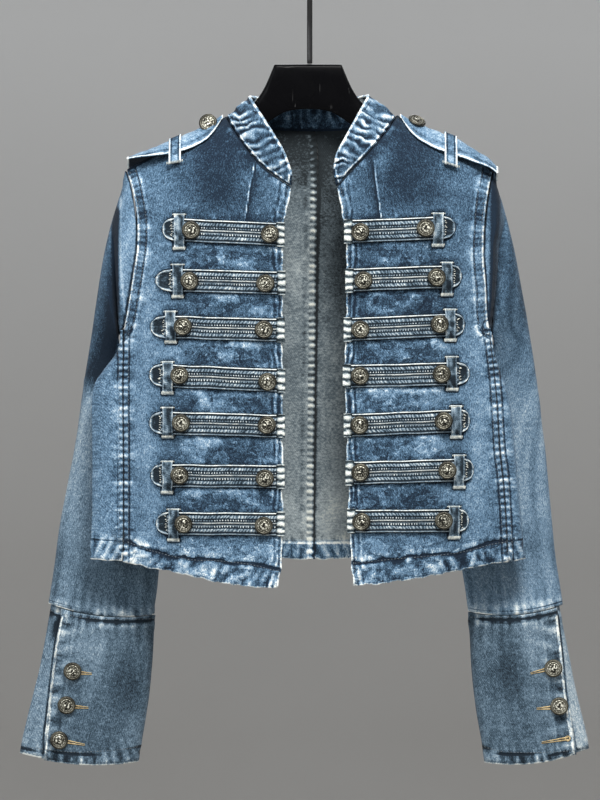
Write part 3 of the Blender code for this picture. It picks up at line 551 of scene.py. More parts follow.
def new_group(name, inputs, outputs):
    group = bpy.data.node_groups.new(name, "ShaderNodeTree")
    for label, kind, value in inputs:
        socket = group.interface.new_socket(name=label, in_out="INPUT", socket_type=kind)
        if value is not None:
            socket.default_value = value
    for label, kind in outputs:
        group.interface.new_socket(name=label, in_out="OUTPUT", socket_type=kind)
    wires = Wiring(group)
    start = group.nodes.new("NodeGroupInput")
    end = group.nodes.new("NodeGroupOutput")
    return group, wires, start, end


def twill_group():
    """Twill lines, slubs and flecks of the cloth, read on the piece's own weave map."""
    group, wires, start, end = new_group(
        "denim_twill",
        [("Weave", "NodeSocketVector", None), ("Place", "NodeSocketVector", None)],
        [("Height", "NodeSocketFloat"), ("Grain", "NodeSocketFloat")],
    )
    weave, place = start.outputs["Weave"], start.outputs["Place"]
    parts = wires.add("ShaderNodeSeparateXYZ", Vector=weave)
    slant = wires.plus(
        wires.times(parts.outputs[0], 2900.0), wires.times(parts.outputs[1], 1900.0)
    )
    lines = wires.math("SINE", slant)
    streaks = wires.noise(wires.stretched(weave, 640, 240, 1), 1.0, 2.0, 0.6)
    flecks = wires.noise(wires.stretched(place, 780, 780, 700), 1.0, 2.0, 0.75)
    grain = wires.plus(wires.times(streaks, 0.35), wires.times(flecks, 0.65))
    wires.feed(end.inputs["Grain"], wires.plus(grain, wires.times(lines, 0.02)))
    height = wires.plus(wires.times(lines, 0.10), grain)
    wires.feed(end.inputs["Height"], height)
    return group


def sewn_group():
    """Crisp marks beside the sewing, from distances in millimetres kept on each corner."""
    names = ("Pale", "Dark", "Near", "Run", "Ladder", "Band")
    group, wires, start, end = new_group(
        "sewn_marks",
        [("Place", "NodeSocketVector", None)] + [(name, "NodeSocketFloat", 12.0) for name in names],
        [("Tone", "NodeSocketFloat"), ("Height", "NodeSocketFloat")],
    )
    place = start.outputs["Place"]
    pale, dark, near, run, ladder, band = (start.outputs[name] for name in names)
    broken = wires.noise(place, 170.0, 2.0, 0.6)
    fine = wires.noise(place, 420.0, 2.0, 0.6)
    worn = wires.times(wires.fall(pale, 0.55, 1.5), wires.fall(broken, 0.62, 0.30))
    worn = wires.plus(wires.times(worn, 0.55), wires.times(wires.fall(pale, 0.4, 1.3), 0.5))
    halo = wires.times(wires.fall(pale, 0.5, 6.0), wires.minus(fine, 0.5))
    # Dark lines: sunk sewing, and painted shadow round the straps
    sunk_or_shadowed = wires.times(wires.fall(dark, 0.5, 1.4), wires.plus(0.5, broken))
    seam = wires.add(
        "ShaderNodeCombineXYZ",
        X=wires.times(run, 0.145),
        Y=wires.times(near, 0.055),
        Z=0.3,
    )
    folds = wires.minus(wires.noise(seam.outputs[0], 1.0, 2.0, 0.5, 0.5), 0.5)
    folds = wires.times(folds, wires.fall(near, 0.0, 11.0))
    bars = wires.math("SINE", wires.times(ladder, math.tau))
    bars = wires.times(wires.plus(bars, wires.minus(broken, 0.5)), wires.fall(band, 3.6, 5.0))
    tone = wires.times(worn, 0.62)
    for share, texture in ((0.5, halo), (-0.40, sunk_or_shadowed), (1.3, folds), (0.19, bars)):
        tone = wires.plus(tone, wires.times(texture, share))
    wires.feed(end.inputs["Tone"], tone)
    height = wires.times(worn, 0.9)
    for share, texture in ((-1.6, sunk_or_shadowed), (3.8, folds), (0.7, bars)):
        height = wires.plus(height, wires.times(texture, share))
    wires.feed(end.inputs["Height"], height)
    return group


def rib_group():
    """Cords, grooves and beaded stitching of a strap, across its width and along its length."""
    group, wires, start, end = new_group(
        "strap_ribs",
        [
            ("Place", "NodeSocketVector", None), ("Rib", "NodeSocketFloat", 0.0),
            ("Run", "NodeSocketFloat", 0.0),
            ("Amount", "NodeSocketFloat", 1.0),
        ],
        [("Tone", "NodeSocketFloat"), ("Height", "NodeSocketFloat")],
    )
    place, rib, run = start.outputs["Place"], start.outputs["Rib"], start.outputs["Run"]
    broken = wires.noise(place, 150.0, 2.0, 0.6)
    away = wires.math("ABSOLUTE", rib)
    tone = height = None
    # The upper edge line is painted brighter than the lower one, as lit from above
    upper = wires.fall(rib, -3.0, 3.0, 0.45, 1.0)
    for value, middle, width, shade, rise in (
        (away, 10.5, 0.9, 0.62, 0.8), (away, 9.0, 1.2, -0.95, -1.2), (away, 11.9, 0.9, -0.6, -1.0),
        (away, 6.7, 1.9, 0.16, 0.4), (away, 4.3, 1.1, -0.60, -0.7), (rib, 1.9, 0.9, -0.70, -0.8),
        (rib, 0.6, 0.9, 0.62, 0.9), (rib, -0.9, 1.0, -0.85, -1.0), (rib, -2.1, 0.8, 0.30, 0.3),
    ):
        off = wires.math("ABSOLUTE", wires.minus(value, middle))
        line = wires.fall(off, width * 0.25, width)
        line = wires.times(line, wires.plus(0.35, wires.times(broken, 1.3)))
        if middle == 10.5:
            line = wires.times(line, upper)
        tone_part, height_part = wires.times(line, shade), wires.times(line, rise)
        tone = tone_part if tone is None else wires.plus(tone, tone_part)
        height = height_part if height is None else wires.plus(height, height_part)
    beads = wires.math("SINE", wires.times(wires.plus(run, wires.times(broken, 3.0)), math.tau / 2.6))
    row = wires.fall(wires.math("ABSOLUTE", wires.minus(away, 3.4)), 0.5, 1.6)
    patchy = wires.fall(wires.noise(place, 60.0, 2.0, 0.6), 0.40, 0.60)
    beads = wires.times(wires.times(beads, row), wires.plus(0.35, patchy))
    slant = wires.plus(wires.times(rib, 1.1), wires.times(run, 1.9))
    coarse = wires.noise(place, 95.0, 2.0, 0.6)
    chain = wires.math("SINE", wires.plus(slant, wires.times(coarse, 16.0)))
    chain = wires.plus(chain, wires.times(wires.minus(coarse, 0.5), 4.0))
    row = wires.fall(wires.math("ABSOLUTE", wires.minus(away, 6.6)), 1.2, 2.6)
    chain = wires.times(wires.times(chain, row), 0.22)
    tone = wires.plus(tone, wires.plus(wires.times(beads, 0.60), chain))
    height = wires.plus(height, wires.plus(wires.times(beads, 0.6), chain))
    wires.feed(end.inputs["Tone"], wires.times(tone, start.outputs["Amount"]))
    wires.feed(end.inputs["Height"], wires.times(height, start.outputs["Amount"]))
    return group


def wash_group():
    """Stone-washed indigo: a ramp from unfaded to bare cotton, moved by the marks, painted light and shade
    among them, and by noise.
    """
    group, wires, start, end = new_group(
        "stone_wash",
        [
            ("Place", "NodeSocketVector", None),
            ("Wash", "NodeSocketFloat", 0.0),
            ("Marble", "NodeSocketFloat", 0.0),
            ("Grain", "NodeSocketFloat", 0.5),
            ("Level", "NodeSocketFloat", 0.45),
            ("Grain Share", "NodeSocketFloat", 0.3),
            ("Grey", "NodeSocketFloat", 0.0),
        ],
        [("Color", "NodeSocketColor"), ("Roughness", "NodeSocketFloat"), ("Height", "NodeSocketFloat")],
    )
    place, marble = start.outputs["Place"], start.outputs["Marble"]
    clouds = wires.noise(wires.stretched(place, 1.0, 1.0, 0.6), 24.0, 2.0, 0.5)
    mottle = wires.noise(place, 165.0, 3.0, 0.65)
    blots = wires.noise(wires.stretched(place, 1.0, 1.0, 1.55), 62.0, 4.0, 0.6, 0.3)
    spots = wires.fall(blots, 0.64, 0.46)
    ridges = wires.fall(wires.math("ABSOLUTE", wires.minus(blots, 0.515)), 0.0, 0.035)
    ridges = wires.times(ridges, wires.fall(mottle, 0.60, 0.38))
    valleys = wires.fall(wires.math("ABSOLUTE", wires.minus(blots, 0.455)), 0.0, 0.04)
    level = wires.plus(start.outputs["Level"], wires.times(start.outputs["Wash"], 0.24))
    for share, texture in ((0.26, clouds), (0.17, mottle)):
        level = wires.plus(level, wires.times(wires.minus(texture, 0.5), share))
    marbled = wires.times(wires.minus(spots, 0.4), 0.11)
    marbled = wires.plus(marbled, wires.times(ridges, 0.24))
    marbled = wires.minus(marbled, wires.times(valleys, 0.12))
    level = wires.plus(level, wires.times(marbled, marble))
    grainy = wires.times(wires.minus(start.outputs["Grain"], 0.5), start.outputs["Grain Share"])
    level = wires.math("ADD", level, grainy, clamp=True)
    blue = wires.ramp(
        level,
        (0.0, (0.008, 0.017, 0.032)),
        (0.25, (0.036, 0.075, 0.124)),
        (0.5, (0.125, 0.222, 0.335)),
        (0.74, (0.34, 0.45, 0.55)),
        (1.0, (0.80, 0.84, 0.82)),
    )
    grey = wires.ramp(
        level,
        (0.0, (0.010, 0.015, 0.018)),
        (0.25, (0.050, 0.072, 0.086)),
        (0.5, (0.150, 0.190, 0.215)),
        (0.74, (0.37, 0.41, 0.41)),
        (1.0, (0.80, 0.82, 0.76)),
    )
    wires.feed(end.inputs["Color"], wires.mix(start.outputs["Grey"], blue, grey))
    wires.feed(end.inputs["Roughness"], wires.minus(0.93, wires.times(level, 0.12)))
    relief = wires.times(wires.times(blots, 4.5), marble)
    wires.feed(end.inputs["Height"], wires.plus(mottle, relief))
    return group


def scratch_group():
    """Fine straight scratches and dust, as a mask that changes over the surface."""
    group, wires, start, end = new_group(
        "fine_scratches",
        [("Place", "NodeSocketVector", None), ("Size", "NodeSocketFloat", 1.0)],
        [("Scratches", "NodeSocketFloat"), ("Smear", "NodeSocketFloat")],
    )
    place = start.outputs["Place"]
    total = None
    for turn, seed in ((0.6, 0.0), (-0.9, 3.1), (1.5, 7.7)):
        mapping = wires.add("ShaderNodeMapping", Vector=place)
        mapping.inputs["Rotation"].default_value = (0, turn, 0)
        mapping.inputs["Location"].default_value = (seed, seed, seed)
        mapping.inputs["Scale"].default_value = (900, 900, 14)
        lines = wires.noise(mapping.outputs[0], 1.0, 1.0, 0.4)
        mask = wires.math("MULTIPLY", wires.math("SUBTRACT", lines, 0.74, clamp=True), 9.0, clamp=True)
        total = mask if total is None else wires.math("MAXIMUM", total, mask)
    patches = wires.noise(place, 60.0, 2.0, 0.5)
    total = wires.times(total, wires.math("GREATER_THAN", patches, 0.5))
    wires.feed(end.inputs["Scratches"], total)
    wires.feed(end.inputs["Smear"], wires.noise(place, 35.0, 3.0, 0.6))
    return group


def new_material(name):
    made = bpy.data.materials.new(name)
    made.use_nodes = True
    wires = Wiring(made.node_tree)
    shader = made.node_tree.nodes["Principled BSDF"]
    return made, wires, shader


def use_group(wires, group, **inputs):
    node = wires.tree.nodes.new("ShaderNodeGroup")
    node.node_tree = group
    for name, value in inputs.items():
        wires.feed(node.inputs[name.replace("_", " ")], value)
    return node


def mark(wires, name):
    return wires.add("ShaderNodeAttribute", {"attribute_name": name}).outputs["Fac"]


def denim_material(name, groups, level, grain=1.0, grey=0.0, ribbed=False):
    made, wires, shader = new_material(name)
    place = wires.add("ShaderNodeTexCoord").outputs["Object"]
    weave = wires.add("ShaderNodeUVMap", {"uv_map": "weave"}).outputs["UV"]
    cloth = use_group(wires, groups["twill"], Weave=weave, Place=place)
    marks = {name.title(): mark(wires, name) for name in ("pale", "dark", "near", "run", "ladder", "band")}
    sewn = use_group(wires, groups["sewn"], Place=place, **marks)
    tone, height = sewn.outputs["Tone"], sewn.outputs["Height"]
    grey = wires.math("ADD", grey, mark(wires, "bound" if ribbed else "cast"), clamp=True)
    if ribbed:
        ribs = use_group(
            wires, groups["ribs"], Place=place, Rib=mark(wires, "rib"), Run=marks["Run"],
            Amount=mark(wires, "ribbed"),
        )
        tone = wires.plus(tone, ribs.outputs["Tone"])
        height = wires.plus(height, ribs.outputs["Height"])
    faded = use_group(
        wires, groups["wash"], Place=place, Wash=mark(wires, "wash"), Marble=mark(wires, "marble"),
        Grain=cloth.outputs["Grain"], Level=wires.plus(tone, level), Grain_Share=grain, Grey=grey,
    )
    slubs = wires.noise(wires.stretched(place, 380, 400, 560), 1.0, 3.0, 0.65)
    blur = wires.noise(place, 60.0, 3.0, 0.6)
    slubs = wires.plus(wires.times(slubs, 0.7), wires.times(blur, 0.3))
    slubs = wires.plus(slubs, wires.times(mark(wires, "wash"), 0.13))
    slubs = wires.plus(slubs, wires.times(tone, 1.0))
    reverse = wires.ramp(
        slubs, (0.15, (0.02, 0.026, 0.03)), (0.38, REVERSE_DARK), (0.62, REVERSE_LIGHT),
        (0.95, (0.66, 0.68, 0.62)),
    )
    wires.feed(shader.inputs["Base Color"], wires.mix(mark(wires, "inside"), faded.outputs["Color"], reverse))
    wires.feed(shader.inputs["Roughness"], faded.outputs["Roughness"])
    shader.inputs["Sheen Weight"].default_value = 0.04
    shader.inputs["Sheen Roughness"].default_value = 0.45
    shader.inputs["Specular IOR Level"].default_value = 0.15
    height = wires.plus(height, wires.times(cloth.outputs["Height"], 1.3))
    height = wires.plus(height, wires.times(faded.outputs["Height"], 1.6))
    wires.bump(shader, height, 0.7, 0.0006)
    return made


def thread_material(name, light, dark, roughness):
    made, wires, shader = new_material(name)
    place = wires.add("ShaderNodeTexCoord").outputs["Object"]
    tone = wires.noise(place, 260.0, 2.0, 0.6)
    wires.feed(shader.inputs["Base Color"], wires.ramp(tone, (0.35, dark), (0.65, light)))
    shader.inputs["Roughness"].default_value = roughness
    shader.inputs["Specular IOR Level"].default_value = 0.3
    wires.bump(shader, wires.noise(wires.stretched(place, 3000, 3000, 1500), 1.0, 1.0), 0.4, 0.0002)
    return made


def button_material(scratches):
    made, wires, shader = new_material("antique_brass")
    place = wires.add("ShaderNodeTexCoord").outputs["Object"]
    tone = wires.noise(place, 520.0, 3.0, 0.7)
    # Patina, raised as painted light on the left cuff's buttons
    age = wires.plus(wires.times(mark(wires, "patina_and_light"), 0.60), wires.times(tone, 0.62))
    fine = use_group(wires, scratches, Place=place)
    wires.feed(shader.inputs["Base Color"], wires.ramp(age, *BRASS_TONES))
    shader.inputs["Metallic"].default_value = 0.65
    wires.feed(shader.inputs["Roughness"], wires.plus(0.34, wires.times(fine.outputs["Smear"], 0.22)))
    wires.bump(shader, tone, 0.6, 0.0006)
    return made


def plastic_material(scratches):
    made, wires, shader = new_material("black_gloss_plastic")
    place = wires.add("ShaderNodeTexCoord").outputs["Object"]
    fine = use_group(wires, scratches, Place=place)
    share = wires.times(fine.outputs["Scratches"], 0.5)
    wires.feed(shader.inputs["Base Color"], wires.mix(share, PLASTIC_BLACK, PLASTIC_SCRATCH))
    shader.inputs["Specular IOR Level"].default_value = 0.05
    rough = wires.plus(0.20, wires.times(fine.outputs["Smear"], 0.16))
    wires.feed(shader.inputs["Roughness"], wires.plus(rough, wires.times(share, 0.5)))
    wires.bump(shader, wires.times(fine.outputs["Scratches"], -1.0), 0.3, 0.0002)
    return made


def hook_material(scratches):
    made, wires, shader = new_material("black_satin_wire")
    place = wires.add("ShaderNodeTexCoord").outputs["Object"]
    fine = use_group(wires, scratches, Place=place)
    wires.feed(shader.inputs["Base Color"], wires.mix(fine.outputs["Scratches"], WIRE_BLACK, WIRE_SCRATCH))
    wires.feed(shader.inputs["Roughness"], wires.plus(0.3, wires.times(fine.outputs["Smear"], 0.2)))
    return made


def backdrop_material(looks):
    made, wires, shader = new_material("studio_paper")
    place = wires.add("ShaderNodeTexCoord").outputs["Object"]
    parts = wires.add("ShaderNodeSeparateXYZ", Vector=place)
    # Wall painted darker towards its foot as shade for the light's falloff; the floor is even
    height = wires.math("DIVIDE", wires.plus(parts.outputs[2], 1.6), 2.6, clamp=True)
    tone = wires.plus(height, wires.times(wires.noise(place, 1.4, 2.0), 0.12))
    wires.feed(
        shader.inputs["Base Color"],
        wires.ramp(tone, (0.0, tuple(looks.floor_and_shade_colour)), (1.0, tuple(looks.wall_colour))),
    )
    shader.inputs["Roughness"].default_value = 0.95
    return made


FINISHES = {}


def finishes():
    """Every finish of the jacket, made once."""
    if not FINISHES:
        groups = {"twill": twill_group(), "sewn": sewn_group(), "wash": wash_group(), "ribs": rib_group()}
        scratches = scratch_group()
        FINISHES.update(
            denim=denim_material("stone_washed_denim", groups, 0.35, 1.6, 0.06),
            sleeve=denim_material("sleeve_denim", groups, 0.38, 1.3, 0.12),
            strap=denim_material("ribbed_strap_denim", groups, 0.29, 1.2, 0.66, True),
            thread=thread_material("faded_thread", (0.20, 0.23, 0.25), (0.06, 0.08, 0.10), 0.75),
            pale=thread_material("bartack_thread", (0.66, 0.67, 0.60), (0.26, 0.28, 0.27), 0.8),
            golden=thread_material("golden_thread", (0.62, 0.49, 0.27), (0.30, 0.22, 0.11), 0.6),
            brass=button_material(scratches),
            plastic=plastic_material(scratches),
            wire=hook_material(scratches),
        )
    return FINISHES


# ---------------------------------------------------------------- cloth


def body_core(centre):
    return Vector((0.008, 0.0, centre.z))


def strap_gap(side, across, down):
    """Distance outside the outlines of all straps and keepers, and which side of them it lies."""
    gap = np.full(across.shape, 60.0)
    below = np.zeros(across.shape)
    for number in range(len(STRAPS[side])):
        data = strap_data(side, number)
        way = SIDES[side]
        x0, x1 = data["inner"] + SHEET_LEFT, data["tip"] + SHEET_LEFT
        share = (across - x0) / (x1 - x0)
        middle = SHEET_TOP - (data["inner_z"] + (data["outer_z"] - data["inner_z"]) * np.clip(share, 0, 1))
        tab = abs(x1 - data["keeper"] - SHEET_LEFT)
        past = np.clip(((across - data["keeper"] - SHEET_LEFT) * way - 6) / (tab - 6), 0, 1)
        half = STRAP_HALF * np.maximum(0.97 - 0.30 * past**1.5 - 0.48 * past**5, 0.05)
        ends = np.maximum(np.maximum((x0 - across) * way, (across - x1) * way), 0)
        off = np.abs(down - middle) - half
        away = np.hypot(ends, np.maximum(off, 0))
        keeper_down = SHEET_TOP - data["keeper_z"]
        loop = np.hypot(
            np.maximum(np.abs(across - data["keeper"] - SHEET_LEFT) - 6.2, 0),
            np.maximum(np.abs(down - keeper_down) - data["keeper_half"], 0),
        )
        away = np.minimum(away, loop)
        closer = away < gap
        gap = np.where(closer, away, gap)
        below = np.where(closer, (down > middle).astype(float), below)
    return gap, below


# Across the sheet: the column between the straps from and to, the light column past them and its width
FRONT_COLUMNS = {"right": (205, 268, 146, 15), "left": (362, 425, 477, 14)}
# How dark the cloth is between the straps, where the chest is darkest, how worn the hem is
FRONT_TONES = {"right": (0.25, 222, 0.3), "left": (0.38, 408, 0.0)}
# Folds under the neck seam: height, paleness of their ridges as wear and painted highlight, paleness all over
NECK_FOLDS = {"right": (0.9, 0.8, 0.1), "left": (1.4, 1.9, 0.9)}


def dress_front(side):
    way = SIDES[side]
    cloth = Cloth(f"front_{side}", 3, body_core)
    across, down = cloth.across, cloth.down
    gap, below = strap_gap(side, across, down)
    covered = step_down(gap, 0, 2.0)
    shown = 1 - covered

    # Broad tones: darker cloth between the straps and on the chest, light columns past the straps
    inner, outer, light_middle, light_width = FRONT_COLUMNS[side]
    darker, chest_middle, worn_hem = FRONT_TONES[side]
    between = span(across, inner - 50, inner, outer, outer + 40)
    between *= span(down, 205, 228, 515, 545)
    cloth.wash -= darker * between
    cloth.marble += 0.8 * between
    if way > 0:
        cloth.wash += (0.7 * bell(down - 395, 35) - 0.35 * bell(down - 295, 22)) * between
    light = bell(across - light_middle, light_width) * span(down, 215, 300, 540, 570)
    cloth.wash += 0.55 * light * (0.8 + 0.4 * drift(across / 14, down / 35, 9))
    chest = bell(across - chest_middle, 44) * step_down(down, 190, 235)
    cloth.wash -= 1.45 * chest
    cloth.wash += worn_hem * step_up(down, 525, 552)
    cloth.marble += 0.8 * step_up(down, 525, 552)
    cloth.marble += 0.25

    # Painted shadow on the cloth beside the straps, darker along their upper edges than below them
    cloth.wash -= shown * (0.7 * below * np.exp(-gap / 1.6) + 2.4 * (1 - below) * np.exp(-gap / 1.5))
    # A strip of painted light just below the shadow under each strap
    cloth.wash += 0.7 * below * bell(gap - 4.5, 2.4) * shown * between
    # A line of painted shadow round each strap's outline, wider below
    cloth.dark_line(np.maximum(gap - 0.2, 0) * np.where(below > 0.5, 0.75, 1.0) + 0.3)

    # Soft hang of the panel, lumps between the straps
    cloth.lift += 0.7 * tangle(across / 55, down / 80, 11) * (1 - 0.8 * covered)
    bent = across / 17 + 0.6 * drift(across / 22, down / 17, 15)
    lumps = tangle(bent, down / 11.5, 12, 3)
    cloth.lift += 1.25 * lumps * (0.25 + 0.75 * between) * shown
    # Lump tops painted lighter and hollows darker, partly as wear and partly as painted light and shade
    cloth.wash += (1.2 * step_up(lumps, 0.05, 0.55) - 0.45) * (0.15 + 0.85 * between) * shown

    # Centre-front facing: an edge of bare cotton, folded lines, gathers between the straps
    off, along = off_line(CENTRE_FRONT[side], across, down)
    off = off * way
    at_edge = step_down(off, 3, 5) * step_up(down, 184, 190)
    cloth.pale_line(np.maximum(cloth.from_edge - 0.7, 0), at_edge)
    cloth.slide += (
        way * 1.3 * bell(off, 6) * shown * step_up(down, 190, 215) * (0.8 + 0.6 * waver(down / 8, 7))
    )
    cloth.gathered(off, along, shown)
    fold = cosine_wave(off / 5.6 + 0.35 * drift(down / 13, off / 9, 5) - 0.35)
    fold *= span(off, 1.5, 4, 11, 15) * (0.6 + 0.4 * drift(down / 8, off / 20, 6)) * shown
    cloth.lift += 0.9 * fold
    cloth.wash += 2.3 * fold
    cloth.pucker(off, along, 9, 6.2, 0.65, 21, 0.6, 0.25, shown)

    # Hem: a pressed stitch line, roped puckers and a worn edge
    off, along = off_line(HEM_STITCH[side], across, down)
    edge, edge_along = off_line(HEM_EDGE[side], across, down)
    slant = 0.55 * way
    rope = cosine_wave((edge_along + slant * edge) / 16 + 0.9 * drift(edge_along / 21, edge / 24, 31))
    rope *= bell(np.abs(edge) - 8, 8) * (0.6 + 0.5 * drift(edge_along / 17, edge / 22, 32))
    cloth.lift += 1.9 * rope
    cloth.wash += (
        1.8 * rope + (worn_hem + 1.9 * tangle(edge_along / 9, edge / 9, 39)) * bell(np.abs(edge) - 8, 8)
    )
    cloth.drop += (1.3 * waver(edge_along / 9, 37) + 0.6 * waver(edge_along / 4, 38)) * bell(edge, 8)
    off = off + 1.7 * waver(along / 12, 35) + 0.7 * waver(along / 5, 36)
    cloth.pucker(off, along, 7, 7.5, 0.6, 33, 0.7, -0.5)
    cloth.lift -= 1.3 * bell(off, 2.4)
    cloth.wash -= 2.0 * bell(off, 2.2)
    above = np.abs(off) * np.where(np.abs(edge) > 19, 1, -1)
    cloth.wash += 1.5 * bell(above - 4.0, 2.6) * (0.7 + 0.6 * waver(along / 10, 34))
    cloth.dark_line(np.maximum(np.abs(off) - 0.9, 0))
    cloth.pale_line(np.maximum(cloth.from_edge - 0.4, 0), step_up(down, 552, 560))
    cloth.gathered(np.minimum(np.abs(off), np.abs(edge)), along)

    # Dart from the neck: a fold with a light ridge and a dark line
    off, along = off_line(DART[side], across, down)
    on_dart = span(down, 155, 160, 221, 224)
    cloth.pale_line(off - 0.7 * way, on_dart)
    cloth.dark_line(off + 1.2 * way, on_dart)
    cloth.lift += 0.7 * step_down(off * way, -0.5, 1.5) * bell(off, 9) * on_dart
    cloth.wash -= 0.5 * bell(off + 3 * way, 3.0) * on_dart
    neck, neck_along = off_line(NECK_SEAM[side], across, down)
    cloth.pucker(neck, neck_along, 10, 7, 0.5, 41, 0.5, 0.2)
    cloth.gathered(neck, neck_along)
    cloth.dark_line(neck)
    lifted, worn, pale = NECK_FOLDS[side]
    below_neck = bell(neck, 26) * step_up(way * off, -3, 2) * step_up(down, 150, 175)
    bent = across / 13 + 0.5 * drift(across / 20, down / 20, 46)
    swell = drift(bent + 0.5 * way * down / 22, down / 26, 47) + 0.4 * drift(across / 6, down / 9, 48)
    cloth.lift += lifted * swell * below_neck
    # Fold ridges painted pale, partly as wear and partly as painted highlight
    cloth.wash += worn * swell * below_neck + pale * below_neck

    # Armhole: bare cotton on the turned edge, a padded band, a second row of sewing
    off, along = off_line(ARMHOLE[side], across, down)
    off = np.abs(off)
    reach = ARMHOLE_TOPSTITCH[side]
    band = step_down(off, reach - 1.5, reach + 0.5)
    cloth.lift += 0.6 * band * step_up(off, 0, 2.5)
    cloth.wash += band * (-0.35 + 0.5 * cosine_wave(along / 5.1 + 0.4 * drift(along / 16, off / 9, 44)))
    cloth.pucker(off - reach, along, 4, 5.2, 0.3, 51, 0.3)
    cloth.dark_line(off - reach)
    cloth.pale_line(off - 0.9)
    cloth.wash += 0.9 * bell(off - reach - 2.2, 1.2)
    cloth.gathered(np.minimum(off, np.abs(off - reach)), along)

    # Felled side seam with a ladder of puckers
    off, along = off_line(SIDE_SEAM[side], across, down)
    side_band(cloth, np.abs(off), along)
    near_rim = cloth.from_edge < 6
    upper_rim = near_rim & (np.abs(neck) > 9) & (down > 177) & (down < 330)
    lower_rim = near_rim & (down > 332) & (down < 552) & (way * across > way * SHEET_LEFT + 100)
    cloth.pale_line(cloth.from_edge + 0.2, upper_rim.astype(float))
    cloth.dark_line(cloth.from_edge, lower_rim.astype(float))
    shoulder_rim = (down < 173) & (np.abs(neck) > 8)
    # Painted shade on the front's top edges along the shoulder, standing in for the shade in the seam
    cloth.wash -= 3.0 * step_down(cloth.from_edge, 1.5, 3.0) * shoulder_rim
    cloth.drop -= 1.2 * step_down(cloth.from_edge, 0, 6) * shoulder_rim
    weave = np.stack((cloth.place[:, 0] + way * cloth.place[:, 1], cloth.place[:, 2]), axis=1)
    piece = cloth.finish(f"jacket_front_{side}", finishes()["denim"], "denim", weave)
    return piece


def side_band(cloth, off, along, where=1.0):
    """Half of a flat-felled seam: a raised band, dark sewn lines and a ladder of light bars."""
    band = step_down(off, 4.6, 6.0) * where
    turns = along / 6.8 + 0.3 * drift(along / 25, off / 25, 71)
    bars = cosine_wave(turns) * (0.7 + 0.3 * drift(along / 11, off / 5, 72))
    cloth.lift += 0.5 * band + 0.3 * bars * band
    cloth.wash += band * (0.1 + 0.45 * bars)
    cloth.set_ladder(off, turns + 0.25, where)
    cloth.dark_line(off - 5.6, where)
    cloth.gathered(off - 5, along, where)
    cloth.pucker(off - 6, along, 6, 6.8, 0.3, 73, 0.35, 0.0, where)


BACK_FOLDS = {
    "right": (
        (((150, 240), (185, 330), (205, 430), (212, 525)), 2.3, 10),
        (((255, 185), (243, 260), (236, 345)), -1.7, 11),
        (((135, 450), (190, 485), (250, 535)), 1.8, 8),
        (((275, 330), (268, 430), (272, 520)), 1.2, 9),
    ),
    "left": (
        (((470, 250), (442, 350), (425, 440), (432, 530)), 2.1, 11),
        (((368, 190), (384, 280), (394, 360)), -1.8, 10),
        (((498, 430), (450, 478), (398, 535)), 1.9, 8),
        (((350, 350), (358, 440), (352, 525)), 1.3, 9),
    ),
}

# Painted light and shade patches inside the back: across, down, how tall for their width, size, tone
INSIDE_PAINTED_LIGHT = (
    (296, 272, 1.2, 20, 0.9), (338, 290, 2.6, 15, -0.8), (300, 372, 1.3, 20, -0.6), (334, 505, 1.2, 20, 0.5)
)


